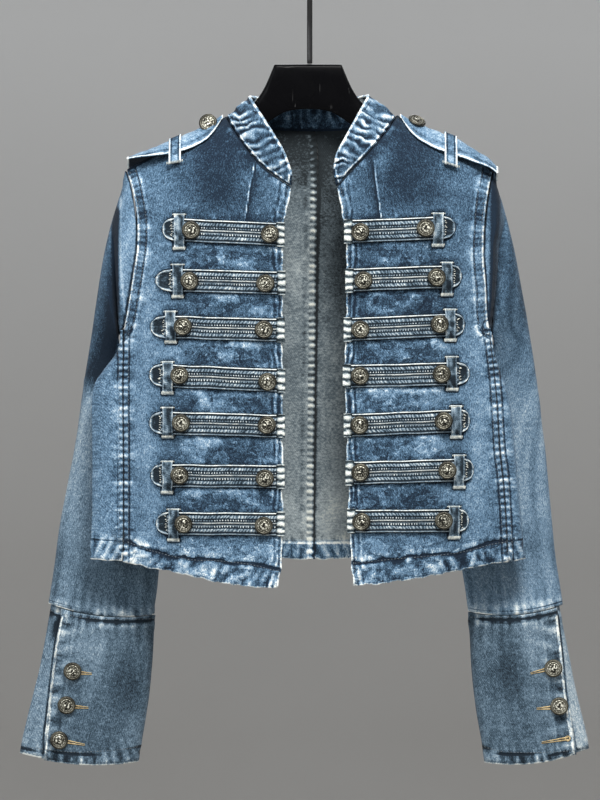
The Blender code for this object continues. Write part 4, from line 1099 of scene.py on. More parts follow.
def dress_back(side):
    way = SIDES[side]
    cloth = Cloth(f"back_{side}", 3, body_core)
    across, down = cloth.across, cloth.down
    cloth.lift += 1.1 * tangle(across / 60, down / 90, 81) + 0.5 * tangle(across / 24, down / 40, 88, 2)
    cloth.wash += 0.35 * tangle(across / 45, down / 90, 82)
    cloth.marble += 0.25
    inside = cloth.inner & ~cloth.outer

    # Long soft folds that fall from the shoulder blades
    behind = (cloth.place[:, 1] > 6).astype(float)
    for line, height, width in BACK_FOLDS[side]:
        off, along = off_line(line, across, down)
        crest = (
            height
            * bell(off, width)
            * step_up(along, 0, 40)
            * step_down(along, along.max() - 40, along.max())
        )
        cloth.lift += crest * behind
        cloth.wash += 0.42 * crest * behind

    # Painted shade inside the back, deepest under the collar, with painted light and shade further down
    shade = -2.4 * step_down(down, 135, 225 if way < 0 else 300) - (0.6 if way < 0 else 0.5)
    for spot_across, spot_down, tall, size, tone in INSIDE_PAINTED_LIGHT:
        shade += tone * bell(np.hypot(across - spot_across, (down - spot_down) / tall), size)
    cloth.wash += np.where(inside, shade + 0.8 * step_up(down, 465, 520), 0)

    # Centre-back seam, felled towards the wearer's right
    off, along = off_line(BACK_SEAM, across, down)
    lap = {"right": 12.0, "left": 1.5}[side]
    off = np.abs(off)
    band = step_down(off, lap - 1, lap + 1)
    turns = along / 6.7 + 0.25 * drift(along / 25, off / 25, 83)
    bars = cosine_wave(turns)
    cloth.lift += (0.4 * band + 0.25 * bars * band) * np.where(inside, -1, 1)
    cloth.wash += 0.3 * band
    cloth.set_ladder(np.abs(off - 4.4) * 1.3, turns + 0.25, 1.0 if way < 0 else 0.0)
    cloth.turned_in |= (off < 4) & cloth.inner & (down > 135)
    cloth.dark_line(off - lap, 1.0 - inside)
    cloth.wash -= 0.8 * bell(off - lap, 1.6) * inside
    cloth.dark_line(np.maximum(off - 0.3, 0))
    ahead = cloth.out[:, 1] > 0
    # Painted shade on the edges in the centre-back seam and the neck, for the shade in the seams
    cloth.wash -= 4.0 * step_down(off, 0.7, 1.5) * (cloth.inner | cloth.on_edge) * ahead
    cloth.wash -= 4.0 * step_down(cloth.from_edge, 1.5, 3.0) * (down < 150) * ahead
    cloth.turned_in |= (cloth.from_edge < 4) & (down < 150) & ahead
    cloth.slide -= way * 1.0 * step_down(off, 0, 6)
    cloth.drop -= 1.6 * step_down(cloth.from_edge, 0, 7) * step_down(down, 170, 180)
    bright = np.maximum(np.sin(2 * math.pi * (turns + 0.25)), 0) ** 2 * bell(off - 4.6, 2.8)
    cloth.wash += 3.6 * bright * step_up(down, 165, 200) * inside * (way < 0)
    cloth.gathered(np.abs(off - lap) + 5, along)
    cloth.pucker(off - lap, along, 7, 7.0, 0.25, 84, 0.3)

    # Hem and the band of the side seam that shows in front
    off, along = off_line(BACK_HEM_STITCH, across, down)
    edge, edge_along = off_line(BACK_HEM_EDGE, across, down)
    rope = cosine_wave((edge_along + 0.6 * way * edge) / 12.0 + 0.5 * drift(edge_along / 30, edge / 30, 85))
    rope *= bell(np.abs(edge) - 8, 8)
    cloth.lift += 1.1 * rope
    cloth.wash += 1.3 * rope
    cloth.drop += 0.9 * waver(edge_along / 9, 87) * bell(edge, 8)
    cloth.dark_line(np.maximum(np.abs(off) - 0.5, 0), 1.0 - inside)
    cloth.pale_line(np.maximum(np.abs(off + 1.5) - 0.9, 0), inside * 1.0)
    cloth.pale_line(np.maximum(cloth.from_edge - 0.4, 0), step_up(down, 545, 552))
    cloth.gathered(np.minimum(np.abs(off), np.abs(edge)), along)
    cloth.faces_out = inside & (off < 0) & (down > 535)

    wrap = ((cloth.place[:, 1] < 6) & ~inside).astype(float)
    off, along = off_line(SIDE_SEAM[side], across, down)
    side_band(cloth, np.abs(off), along, wrap * step_up(down, 322, 330))
    cloth.wash += wrap * 0.35

    armhole, run = off_line(ARMHOLE[side], across, down)
    armhole = np.abs(armhole)
    behind = ((cloth.place[:, 1] > 6) & (cloth.out[:, 1] > 0.2) & (down < 322)).astype(float)
    cloth.pale_line(armhole - 0.9, behind)
    cloth.dark_line(armhole - 9, behind)
    cloth.gathered(armhole - 9, run, behind)
    cloth.lift += behind * 0.4 * step_down(armhole, 8, 10)
    weave = np.stack((cloth.place[:, 0] - way * cloth.place[:, 1], cloth.place[:, 2]), axis=1)
    piece = cloth.finish(f"jacket_back_{side}", finishes()["denim"], "denim", weave)
    return piece


def arc_round(cloth, bins=60):
    """Length along the cloth round a sleeve or cuff, from the middle of each height."""
    height = cloth.place[:, 2]
    low, high = height.min(), height.max()
    which = np.clip(((height - low) / (high - low) * bins).astype(int), 0, bins - 1)
    middle = np.zeros((bins, 2))
    half = np.ones((bins, 2))
    for number in range(bins):
        here = cloth.place[which == number]
        if len(here):
            middle[number] = (here[:, :2].max(0) + here[:, :2].min(0)) / 2
            half[number] = (here[:, :2].max(0) - here[:, :2].min(0)) / 2
    stations = (np.arange(bins) + 0.5) / bins * (high - low) + low
    x = cloth.place[:, 0] - np.interp(height, stations, middle[:, 0])
    y = cloth.place[:, 1] - np.interp(height, stations, middle[:, 1])
    wide = np.interp(height, stations, half[:, 0])
    deep = np.interp(height, stations, half[:, 1])
    angle = np.arctan2(y / deep, x / wide)
    turns = np.linspace(-math.pi, math.pi, 181)
    pace = np.hypot(np.sin(turns), 0.4 * np.cos(turns))
    length = np.concatenate(([0], np.cumsum((pace[1:] + pace[:-1]) / 2 * np.diff(turns))))
    return np.interp(angle, turns, length) * wide


def sleeve_core(side):
    middle = {"right": ((-0.190, 0.0), (-0.200, 0.045)), "left": ((0.190, 0.0), (0.200, 0.045))}[side]

    def core(centre):
        share = min(max((-0.28 - centre.z) / 0.12, 0), 1)
        x = middle[0][0] + (middle[1][0] - middle[0][0]) * share
        y = middle[0][1] + (middle[1][1] - middle[0][1]) * share
        return Vector((x, y, centre.z))

    return core


# Folds behind the elbow: places out from the middle and down, height, width
ELBOW_FOLDS = (
    (((168, 372), (195, 384), (226, 380)), 1.8, 5),
    (((172, 398), (200, 404), (232, 415)), -1.6, 5),
    (((178, 428), (205, 422), (236, 408)), 1.5, 6),
)


def dress_sleeve(side):
    way = SIDES[side]
    cloth = Cloth(f"sleeve_{side}", 3, sleeve_core(side))
    across, down = cloth.across, cloth.down
    arc = arc_round(cloth)
    lower = step_up(down, 380, 420)
    cloth.lift += (1.7 * tangle(arc / 55, down / 130, 91) + 0.6 * tangle(arc / 20, down / 45, 92, 2)) * lower
    cloth.lift += 0.7 * tangle(across / 26, down / 60, 93, 2) * (1 - lower)
    elbow = step_up(cloth.out[:, 1], 0.0, 0.4) * bell(down - 400, 75)
    streaks = 0.6 * tangle(arc / 22, down / 210, 94) + 0.42 * tangle(arc / 6, down / 70, 95)
    cloth.wash += streaks * (1 - 0.75 * elbow)
    for line, height, width in ELBOW_FOLDS:
        off, _ = off_line([(SHEET_LEFT + way * a, d) for a, d in line], across, down)
        cloth.lift += height * bell(off, width) * elbow
        cloth.wash += 0.5 * height * bell(off, width) * elbow
    cloth.wash += (0.62 if way < 0 else 0.75) * span(down, 340, 420, 500, 570)
    cloth.wash += (0.05 if way < 0 else 0.45) * step_up(down, 545, 570)
    cloth.cast += (0.38 if way < 0 else 0.18) * step_up(down, 320, 430)
    cloth.marble += 0.12

    # Painted shade in the deep fold that runs down beside the body; on the right, painted light on its edge
    trough = {
        "right": ((118, 212), (117, 250), (116, 290), (116, 325), (113, 350), (101, 374)),
        "left": ((494, 183), (494, 220), (495, 250), (493.5, 300), (492, 330), (496, 352)),
    }[side]
    off, along = off_line(trough, across, down)
    ahead = step_up(-cloth.out[:, 1], -0.2, 0.3) * (down < 420)
    if way < 0:
        width = np.where(off < 0, np.interp(down, (215, 290, 345), (4.0, 12.0, 18.0)), 2.5)
        crease, _ = off_line(((120, 200), (119, 250), (122, 290), (128, 335)), across, down)
        # Painted light on the fold's edge, and painted light and shade on the flat in front of it
        cloth.wash += 1.1 * bell(crease - 1.0, 1.6) * ahead
        lens = span(down, 212, 236, 285, 318) * ahead
        cloth.wash += (0.7 * bell(crease + 8.5, 1.4) - 1.3 * bell(crease + 5, 2.4)) * lens
    else:
        width = np.where(off < 0, 3.5, 5.5)
        cloth.slide -= 4.0 * bell(across - 499, 8) * span(down, 222, 250, 330, 352) * ahead
        # Painted shade on the sleeve's front beside the body
        cloth.wash -= 0.5 * span(down, 165, 190, 300, 350) * ahead
        ahead = ahead * step_down(down, 312, 342)
    # Painted shade down the fold
    cloth.wash -= 3.0 * bell(off, width) * ahead

    # Seam at the armhole
    off, along = off_line(ARMHOLE[side], across, down)
    off = np.abs(off)
    head = (1 - lower) * (cloth.place[:, 1] < 15)
    cloth.pucker(off, along, 10, 9, 0.4, 96, 0.15, 0, head)
    cloth.gathered(off + 4, along, head)
    cloth.dark_line(np.maximum(off - 0.5, 0) * 0.6, head)

    # Gathers into the cuff
    off, along = off_line(SLEEVE_FOOT[side], across, down)
    cloth.pucker(off, along, 15, 9.5, 1.0, 97, 0.7)
    cloth.gathered(off, along)
    foot = step_up(down, 590, 598)
    cloth.pale_line(
        np.maximum(cloth.from_edge - 0.3, 0) * 1.2, foot * step_up(waver(along / 13, 98), -0.2, 0.3)
    )
    cloth.dark_line(cloth.from_edge - 3.0, foot)
    cloth.wash += 0.7 * bell(np.abs(off) - 4, 4.0)
    weave = np.stack((arc, cloth.place[:, 2]), axis=1)
    piece = cloth.finish(f"jacket_sleeve_{side}", finishes()["sleeve"], "denim", weave)
    return piece


SLEEVE_FOOT = {
    "right": ((40, 604), (61, 608), (99, 616), (154, 615)),
    "left": ((460, 612), (500, 613), (526, 610.5), (570, 604)),
}
CUFF_EDGE = {
    "right": ((60, 619.5), (55, 645), (50, 685), (45.5, 727), (43, 761)),
    "left": ((558, 617), (562, 650), (566, 690), (571, 727), (576, 761)),
}
CUFF_TOP = {
    "right": ((44, 612), (61, 617), (99, 622), (155, 622)),
    "left": ((466, 620.5), (514, 620), (545, 616), (568, 611)),
}
CUFF_HEM = {
    "right": ((22, 747), (43, 750.5), (72, 753), (100, 752), (126, 750), (142, 747)),
    "left": ((480, 746.5), (500, 752), (524, 753.5), (550, 753), (572, 751.5), (590, 747)),
}


def dress_cuff(side):
    way = SIDES[side]
    cloth = Cloth(f"cuff_{side}", 3, sleeve_core(side))
    across, down = cloth.across, cloth.down
    arc = arc_round(cloth, 16)
    cloth.lift += 0.7 * tangle(arc / 40, down / 50, 101)
    cloth.cast += 0.44
    cloth.wash -= 0.24
    cloth.wash += 0.35 * tangle(arc / 16, down / 60, 102) + 0.2 * tangle(arc / 4, down / 60, 106)
    # A patch of painted shadow and a patch of painted light on each cuff
    shade = ((503, 668), (541, 640)) if way > 0 else ((128, 690), (84, 640))
    for (spot_across, spot_down), tone in zip(shade, (-0.8, 0.6)):
        cloth.wash += tone * bell(np.hypot(across - spot_across, (down - spot_down) * 0.7), 20)
    cloth.drop += 3.0 * step_up(down, 735, 762)
    cloth.marble += 0.25
    facing = (cloth.place[:, 1] < 43).astype(float)
    off, along = off_line(CUFF_TOP[side], across, down)
    cloth.pucker(off, along, 18, 10, 0.9, 103, 0.7)
    cloth.gathered(off, along)
    top = step_up(-np.abs(off), -12, -8)
    cloth.dark_line(np.maximum(np.abs(off) - 0.8, 0))
    cloth.wash -= 2.0 * bell(off, 1.4)
    far = step_up(way * across, 478 if way > 0 else -150, 490 if way > 0 else -138)
    cloth.pale_line(off + 2.2, far * step_up(-way * (across - (540 if way > 0 else 76)), 0, 12))
    cloth.wash += top * (0.6 * bell(off + 3.5, 2.5) - 0.2 * bell(off - 2.0, 2.0) + 1.0 * bell(off - 5.0, 3.0))
    cloth.lift += top * 0.5 * step_up(-off, -1, 1)
    off, along = off_line(CUFF_HEM[side], across, down)
    cloth.pucker(off + 5, along, 7, 9.5, 0.8, 104, 1.9, 0.3)
    cloth.gathered(off + 5, along)
    cloth.dark_line(np.maximum(np.abs(off) - 0.9, 0))
    cloth.wash -= 0.6 * bell(off, 1.5)
    cloth.pale_line(np.maximum(cloth.from_edge - 1.0, 0), step_up(down, 700, 710))

    # Overlap: a bare edge, a folded line and puckers between the buttonholes
    off, along = off_line(CUFF_EDGE[side], across, down)
    if way > 0:
        off = -off
    lap = facing * step_up(off, -1, 1)
    cloth.pucker(off - 5, along, 11, 17, 1.2, 105, 1.5, 0.25, lap)
    cloth.pale_line(np.maximum(np.abs(off - 0.9) - 0.3, 0), facing)
    cloth.dark_line(off + 1.3, facing)
    cloth.wash += lap * (0.45 * bell(off - 16, 1.6) - 0.5 * bell(off - 13.5, 1.4))
    cloth.gathered(off - 4, along, lap)
    under = facing * step_down(off, -2.5, -0.5)
    cloth.wash += under * (1.4 if way > 0 else 0.6)
    rim = step_up(way * across, way * (568 if way > 0 else 48), way * (592 if way > 0 else 20))
    cloth.slide += way * 5.0 * step_up(down, 630, 740) * rim
    # Painted shade in the hollow at the top of the underlap, under the sleeve's edge
    cloth.wash -= under * (2.8 if way < 0 else 0.6) * bell(off + 3, 4) * span(down, 613, 621, 626, 646)
    weave = np.stack((arc, cloth.place[:, 2]), axis=1)
    piece = cloth.finish(f"jacket_cuff_{side}", finishes()["sleeve"], "denim", weave)
    return piece


def dress_collar():
    cloth = Cloth("collar", 3, lambda centre: Vector((0.004, -0.006, centre.z)))
    x, y, z = cloth.place.T
    angle = np.arctan2(y + 10, x - 4)
    angle = np.where(angle < -math.pi / 2, angle + 2 * math.pi, angle)
    bins = 90
    low, high = angle.min(), angle.max()
    which = np.clip(((angle - low) / (high - low) * bins).astype(int), 0, bins - 1)
    middle = np.array(
        [cloth.place[which == n].mean(0) if (which == n).any() else (np.nan,) * 3 for n in range(bins)]
    )
    bottom = np.array([z[which == n].min() if (which == n).any() else np.nan for n in range(bins)])
    top = np.array([z[which == n].max() if (which == n).any() else np.nan for n in range(bins)])
    good = ~np.isnan(bottom)
    stations = ((np.arange(bins) + 0.5) / bins * (high - low) + low)[good]
    run = np.concatenate(([0], np.cumsum(np.linalg.norm(np.diff(middle[good], axis=0), axis=1))))
    along = np.interp(angle, stations, run)
    share = (z - np.interp(angle, stations, bottom[good])) / np.interp(angle, stations, (top - bottom)[good])
    share = np.clip(share, 0, 1)
    front = step_up(-y, -20, 0)

    # Level folds across the band, rising a little towards the middle, crowded and deep in front
    across, down = cloth.across, cloth.down
    level = down - 0.32 * np.abs(across - SHEET_LEFT - 4)
    bent = 0.55 * drift(across / 15, down / 13, 111) + 0.28 * drift(across / 6, down / 7, 116)
    folds = cosine_wave(level / 8.4 + bent)
    upright = cosine_wave(along / 11 + 0.6 * (share - 0.5) + 0.6 * drift(along / 18, share * 1.6, 117))
    ridges = folds * front + upright * (1 - front)
    ridges = np.where(ridges > 0, ridges, -np.abs(ridges) ** 1.5)
    middle_of_band = np.sin(math.pi * np.clip(share, 0.03, 0.97)) ** 0.45
    strength = (0.70 + 0.75 * drift(across / 11, down / 9, 112)) * middle_of_band * (0.5 + 0.5 * front)
    cloth.lift += 1.5 * ridges * strength
    # Ridges painted pale, partly as wear and partly as painted highlight; valleys as painted shade
    cloth.wash += (2.6 * ridges + 0.35) * strength
    cloth.lift += 0.45 * tangle(along / 7, share * 3.4, 113) * middle_of_band
    cloth.wash += 0.7 * tangle(along / 5, share * 5, 114)
    upper = step_up(share, 0.40, 0.55)
    cloth.pale_line(np.maximum(cloth.from_edge - 1.0, 0), upper)
    cloth.dark_line(cloth.from_edge - 4.4, upper * (0.72 + 0.28 * np.sign(np.sin(along * 2 * math.pi / 3.3))))
    cloth.dark_line(np.maximum(cloth.from_edge - 0.6, 0), 1 - upper)
    # Painted shade on the back of the collar's lower edge, for the shade in the neck seam
    cloth.wash -= 3.5 * step_down(cloth.from_edge, 1.5, 3.0) * (1 - upper) * (1 - front)
    cloth.pale_line(cloth.from_edge - 2.7, (1 - upper) * front * step_up(waver(along / 7, 118), -0.9, -0.4))
    cloth.gathered(cloth.from_edge, along)
    cloth.wash -= 0.15 + 0.8 * (1 - front)
    patches = bell(share - 0.82, 0.10) * (0.6 + waver(along / 9, 119))
    patches += 0.7 * bell(share - 0.45, 0.12) * np.maximum(waver(along / 7, 120), 0)
    cloth.wash += 2.0 * (1 - front) * cloth.inner * patches
    cloth.faces_out |= cloth.inner
    cloth.marble += 0.6
    weave = np.stack((along, share * 31), axis=1)
    piece = cloth.finish("jacket_collar", finishes()["denim"], "denim", weave)
    return piece


# ---------------------------------------------------------------- laid pieces


class Skin:
    """The outer face of finished pieces, on which others are laid. Places are millimetres."""

    def __init__(self, *things):
        joined = bmesh.new()
        for thing in things:
            joined.from_mesh(thing.data)
        self.tree = BVHTree.FromBMesh(joined)
        joined.free()

    def seen(self, across, height, back=False):
        """Where a line of sight from the front, or from the back, first meets the cloth."""
        start = Vector((across * MM, 0.5 if back else -0.5, height * MM))
        hit, normal = self.tree.ray_cast(start, Vector((0, -1 if back else 1, 0)))[:2]
        return (None, None) if hit is None else (hit / MM, normal)

    def depth(self, across, height, past_edge=9):
        for inset in range(past_edge):
            hit = self.seen(across + math.copysign(inset, across), height)[0]
            if hit is not None:
                return hit.y
        return None


def bend_sheet(shape, spots, marks):
    """Lays a grid's corners at spots[i, j], in millimetres, each with its marks."""
    layers = {
        name: shape.verts.layers.float.get(name) or shape.verts.layers.float.new(name) for name in marks
    }
    across_count, down_count = spots.shape[0] - 1, spots.shape[1] - 1
    made = bmesh.ops.create_grid(shape, x_segments=across_count, y_segments=down_count, size=0.5)
    for corner in made["verts"]:
        i = round((corner.co.x + 0.5) * across_count)
        j = round((0.5 - corner.co.y) * down_count)
        corner.co = Vector(spots[i, j]) * MM
        for name, values in marks.items():
            corner[layers[name]] = values[i, j]
    return made["verts"]


def slab(shape, outer_spots, inner_spots, under_wash=None, **marks):
    """A closed solid between an outer and an inner sheet of the same corners."""
    for name in ("wash", "rib", "run", "ribbed", "bound", "pale", "dark"):
        shape.verts.layers.float.get(name) or shape.verts.layers.float.new(name)
    filled = {"wash": 0.0, "rib": 6.0, "run": 0.0, "ribbed": 0.0, "bound": 0.0, "pale": 12.0, "dark": 12.0}
    filled = {
        name: np.broadcast_to(marks.get(name, value), outer_spots.shape[:2])
        for name, value in filled.items()
    }
    outer = bend_sheet(shape, outer_spots, filled)
    # The under sheet may take its own painted shade
    if under_wash is not None:
        filled["wash"] = under_wash
    inner = bend_sheet(shape, inner_spots, filled)
    corners = set(outer) | set(inner)
    edges = {edge for corner in corners for edge in corner.link_edges if edge.is_boundary}
    bmesh.ops.bridge_loops(shape, edges=list(edges))
    faces = {face for corner in corners for face in corner.link_faces}
    bmesh.ops.recalc_face_normals(shape, faces=list(faces))


def laid_mesh(name, shape):
    """A mesh of the laid shape with a weave map and even marks where none are set."""
    mesh = bpy.data.meshes.new(name)
    shape.to_mesh(mesh)
    shape.free()
    for missing, value in (("marble", 0.3), ("inside", 0.0), ("near", 12.0), ("band", 12.0), ("ladder", 0.0)):
        layer = mesh.attributes.new(missing, "FLOAT", "POINT")
        layer.data.foreach_set("value", np.full(len(mesh.vertices), value, np.float32))
    places = np.empty(len(mesh.vertices) * 3)
    mesh.vertices.foreach_get("co", places)
    places = places.reshape(-1, 3)
    corner_of = np.empty(len(mesh.loops), int)
    mesh.loops.foreach_get("vertex_index", corner_of)
    layer = mesh.uv_layers.new(name="weave")
    weave = np.stack((places[:, 2], places[:, 0] + places[:, 1]), axis=1)
    layer.data.foreach_set("uv", weave[corner_of].astype(np.float32).ravel())
    mesh.shade_smooth()
    return mesh


# Half of a strap's section: share of the half width, height and wash
STRAP_SECTION = (
    (0.00, 2.0, -1.3),
    (0.045, 2.15, -0.4),
    (0.10, 2.75, 1.15),
    (0.15, 2.7, 0.9),
    (0.20, 2.0, -1.2),
    (0.27, 2.15, -0.2),
    (0.40, 2.35, 0.25),
    (0.55, 2.35, 0.05),
    (0.68, 2.2, -0.35),
    (0.76, 1.9, -1.4),
    (0.82, 2.4, 0.2),
    (0.88, 2.9, 1.2),
    (0.94, 2.85, 1.1),
    (0.985, 2.2, 0.3),
    (1.00, 0.9, -1.2),
)
STRAP_HALF = 11.4
STRAP_OFF_CLOTH = 0.5
BIND_LENGTH = 8.5
KEEPER_HALF = 5.2


def section_rows():
    below = [(-share, height, wash) for share, height, wash in reversed(STRAP_SECTION[1:])]
    return below + list(STRAP_SECTION)


def cloth_depths(skin, across, height):
    """Depth of the cloth under each place, carried on from the nearest edge where there is none."""
    across, height = np.asarray(across, float), np.asarray(height, float)
    found = [skin.depth(a, h) for a, h in zip(across.ravel(), height.ravel())]
    return np.array([-46.0 if depth is None else depth for depth in found]).reshape(across.shape)


def strap_data(side, number):
    data = dict(zip(STRAP_COLUMNS, STRAPS[side][number]))
    data["inner"] = STRAP_INNER[side][number]
    return data


def dress_strap(side, number, skin, threads):
    way = SIDES[side]
    data = strap_data(side, number)
    inner, tip, keeper = data["inner"], data["tip"], data["keeper"]
    seed = 200 + number + (50 if way > 0 else 0)
    keeper_out = keeper + way * (KEEPER_HALF + 0.5)
    tab = abs(tip - keeper_out)
    body = abs(keeper_out - inner) - BIND_LENGTH

    def middle(across):
        return data["inner_z"] + (data["outer_z"] - data["inner_z"]) * (across - inner) / (tip - inner)

    # The band, from the bound end to the tab's point
    runs = np.concatenate((
        (-0.3, 0.3, 1.4, 3.2, 5.0, 6.8, 7.9, BIND_LENGTH),
        BIND_LENGTH + body * np.linspace(0.012, 1, 44),
        BIND_LENGTH + body + tab * np.array((0.14, 0.3, 0.45, 0.6, 0.72, 0.82, 0.9, 0.96, 1.0)),
    ))
    rows = section_rows()
    shares = np.array([row[0] for row in rows])
    run, share = np.meshgrid(runs, shares, indexing="ij")
    across = inner + way * run
    past = np.clip((across - keeper_out) * way / tab, 0, 1)
    outline = np.where(past > 0, np.maximum(0.96 - 0.30 * past**1.5 - 0.48 * past**5, 0.05), 1.0)
    bound = run < BIND_LENGTH - 0.1
    half = STRAP_HALF * outline + np.where(bound, 0.7 + 0.5 * drift(run * 0 + share * 3, run * 0, seed), 0)
    height = middle(across) + share * half + 0.45 * drift(run / 19, 0 * run + 0.5, seed + 1)
    depth = cloth_depths(skin, across, height)
    rise = np.broadcast_to([row[1] for row in rows], run.shape).copy()
    rise += 0.28 * tangle(run / 9, share * 1.7, seed + 2) + 0.25 * drift(run / 3.2, share * 4, seed + 3)
    wash = 0.5 * tangle(run / 11, share * 1.5, seed + 4) + 0.1
    edge = 1 - np.clip((1 - past) * 3.0, 0, 1)
    rib = np.maximum(step_up(np.abs(share), 0.70, 0.88), step_up(edge, 0.2, 0.7))
    rise = np.where(past > 0, 1.5 + 1.5 * rib + 0.35 * drift(run / 3, share * 3, seed + 5), rise)
    speckled = tangle(run / 2.2, share * 4, seed + 11, 2)
    wash = np.where(
        past > 0, -1.6 + (3.4 + 1.6 * speckled) * rib + 1.8 * np.maximum(speckled, 0) * (1 - rib), wash
    )
    blocks = cosine_wave(share * 1.75 + 0.16 * drift(share * 3, run / 4, seed + 6))
    blocks = np.where(blocks > -0.5, 0.5 + 0.5 * blocks, blocks)
    rise = np.where(bound, 2.9 + 0.75 * blocks - 0.8 * bell(run - 7.6, 1.2), rise)
    wash = np.where(bound, 1.0 + 1.9 * blocks - 2.6 * bell(run - 8.2, 1.0), wash)
    rim = (np.abs(share) > 0.99) | (past > 0.99) | (run < 0)
    rise = np.where(rim, np.minimum(rise, 1.0), rise)
    outer = np.stack((across, depth - STRAP_OFF_CLOTH - rise, height), axis=2)
    under = np.stack((across, depth + 0.4, height), axis=2)
    shape = bmesh.new()
    ribbed = np.where(bound | (past > 0), 0.0, 1.0)
    slab(
        shape, outer, under, wash=wash, rib=share * STRAP_HALF, run=run, ribbed=ribbed,
        bound=np.where(bound, 0.6, 0.0),
    )

    # Keeper: a loop round the band, with worn edges and swollen ends
    low, high = data["keeper_z"] - data["keeper_half"], data["keeper_z"] + data["keeper_half"]
    levels = np.array(
        (
            0, 0.025, 0.06, 0.10, 0.15, 0.21, 0.28, 0.36, 0.43, 0.5, 0.57, 0.64, 0.72, 0.79, 0.85, 0.9,
            0.94, 0.975, 1,
        )
    )
    sides = np.array((-1, -0.94, -0.84, -0.72, -0.58, -0.3, 0, 0.3, 0.58, 0.72, 0.84, 0.94, 1))
    side_share, level = np.meshgrid(sides, levels, indexing="ij")
    height = low + (high - low) * level
    ends = bell(level, 0.09) + bell(level - 1, 0.07)
    across = keeper + side_share * (KEEPER_HALF + 0.9 * ends) + 0.6 * waver(height / 11, seed + 7)
    over = step_down(np.abs(height - middle(keeper)), STRAP_HALF - 2.2, STRAP_HALF + 2.6)
    depth = cloth_depths(skin, across, height)
    lifted = 0.5 + 3.1 * over
    side_rib = bell(np.abs(side_share) - 0.86, 0.15)
    rise = 1.3 + 0.6 * side_rib + 0.4 * drift(height / 3.0, side_share * 1.5, seed + 8) + 0.5 * ends
    wash = -0.6 + 2.0 * side_rib + 1.7 * drift(height / 4.5, side_share * 1.7, seed + 9) + 2.2 * ends
    # A painted highlight down the keeper's left side
    wash += (
        0.9 * bell(side_share + 0.35, 0.3) - 1.2 * bell(level - 0.13, 0.03) - 0.9 * bell(level - 0.88, 0.03)
    )
    rim = (np.abs(side_share) > 0.99) | (level < 0.001) | (level > 0.999)
    rise = np.where(rim, 0.5, rise)
    wash = np.where(rim, 0.4, wash)
    outer = np.stack((across, depth - lifted - rise, height), axis=2)
    under = np.stack((across, depth - lifted + 0.1, height), axis=2)
    slab(shape, outer, under, wash=wash, run=height)
    name = f"strap_{side}_{number + 1}"
    piece = add_piece(
        name, laid_mesh(name, shape), finishes()["strap"], f"frog_{side}_{number + 1}"
    )

    # Bartacks at the keeper's foot and head, crossed stitches in the tab
    strap_skin = Skin(piece)
    for end, tall, wide in ((low + 2.2, 3.6, 5.9), (high - 1.2, 1.6, 6.6)):
        for step in range(13):
            across = (
                keeper
                + (step / 6 - 1) * wide
                + 0.5 * float(drift(np.array(end / 11), np.array(0.0), seed + 7))
            )
            cloth_depth = cloth_depths(skin, across, end)
            hit = strap_skin.seen(across, end)[0] or Vector((across, cloth_depth - 1.2, end))
            lean = Vector((0.35, 0, tall / 2))
            middle_spot = Vector((across, hit.y - 0.25, end))
            threads.bar(middle_spot - lean, middle_spot + lean, 0.42, 0.42)
    for step in range(7):
        chance, other = (
            float(drift(np.array(step * 1.37 + k), np.array(seed * 0.71), 420)) for k in (0.0, 40.0)
        )
        run, lean = 0.4 + 1.7 * abs(chance), 2.6 * other
        place_x = keeper_out + way * (run + 0.8)
        place_z = middle(place_x) + (step - 3) * 2.2 + chance
        place_y = float(cloth_depths(skin, place_x, place_z)) - 2.7
        spot = Vector((place_x, place_y, place_z))
        arm = Vector((way * (0.5 + run * 0.6), 0, lean * 0.5))
        threads.bar(spot - arm, spot + arm, 0.6, 0.5)
    return piece


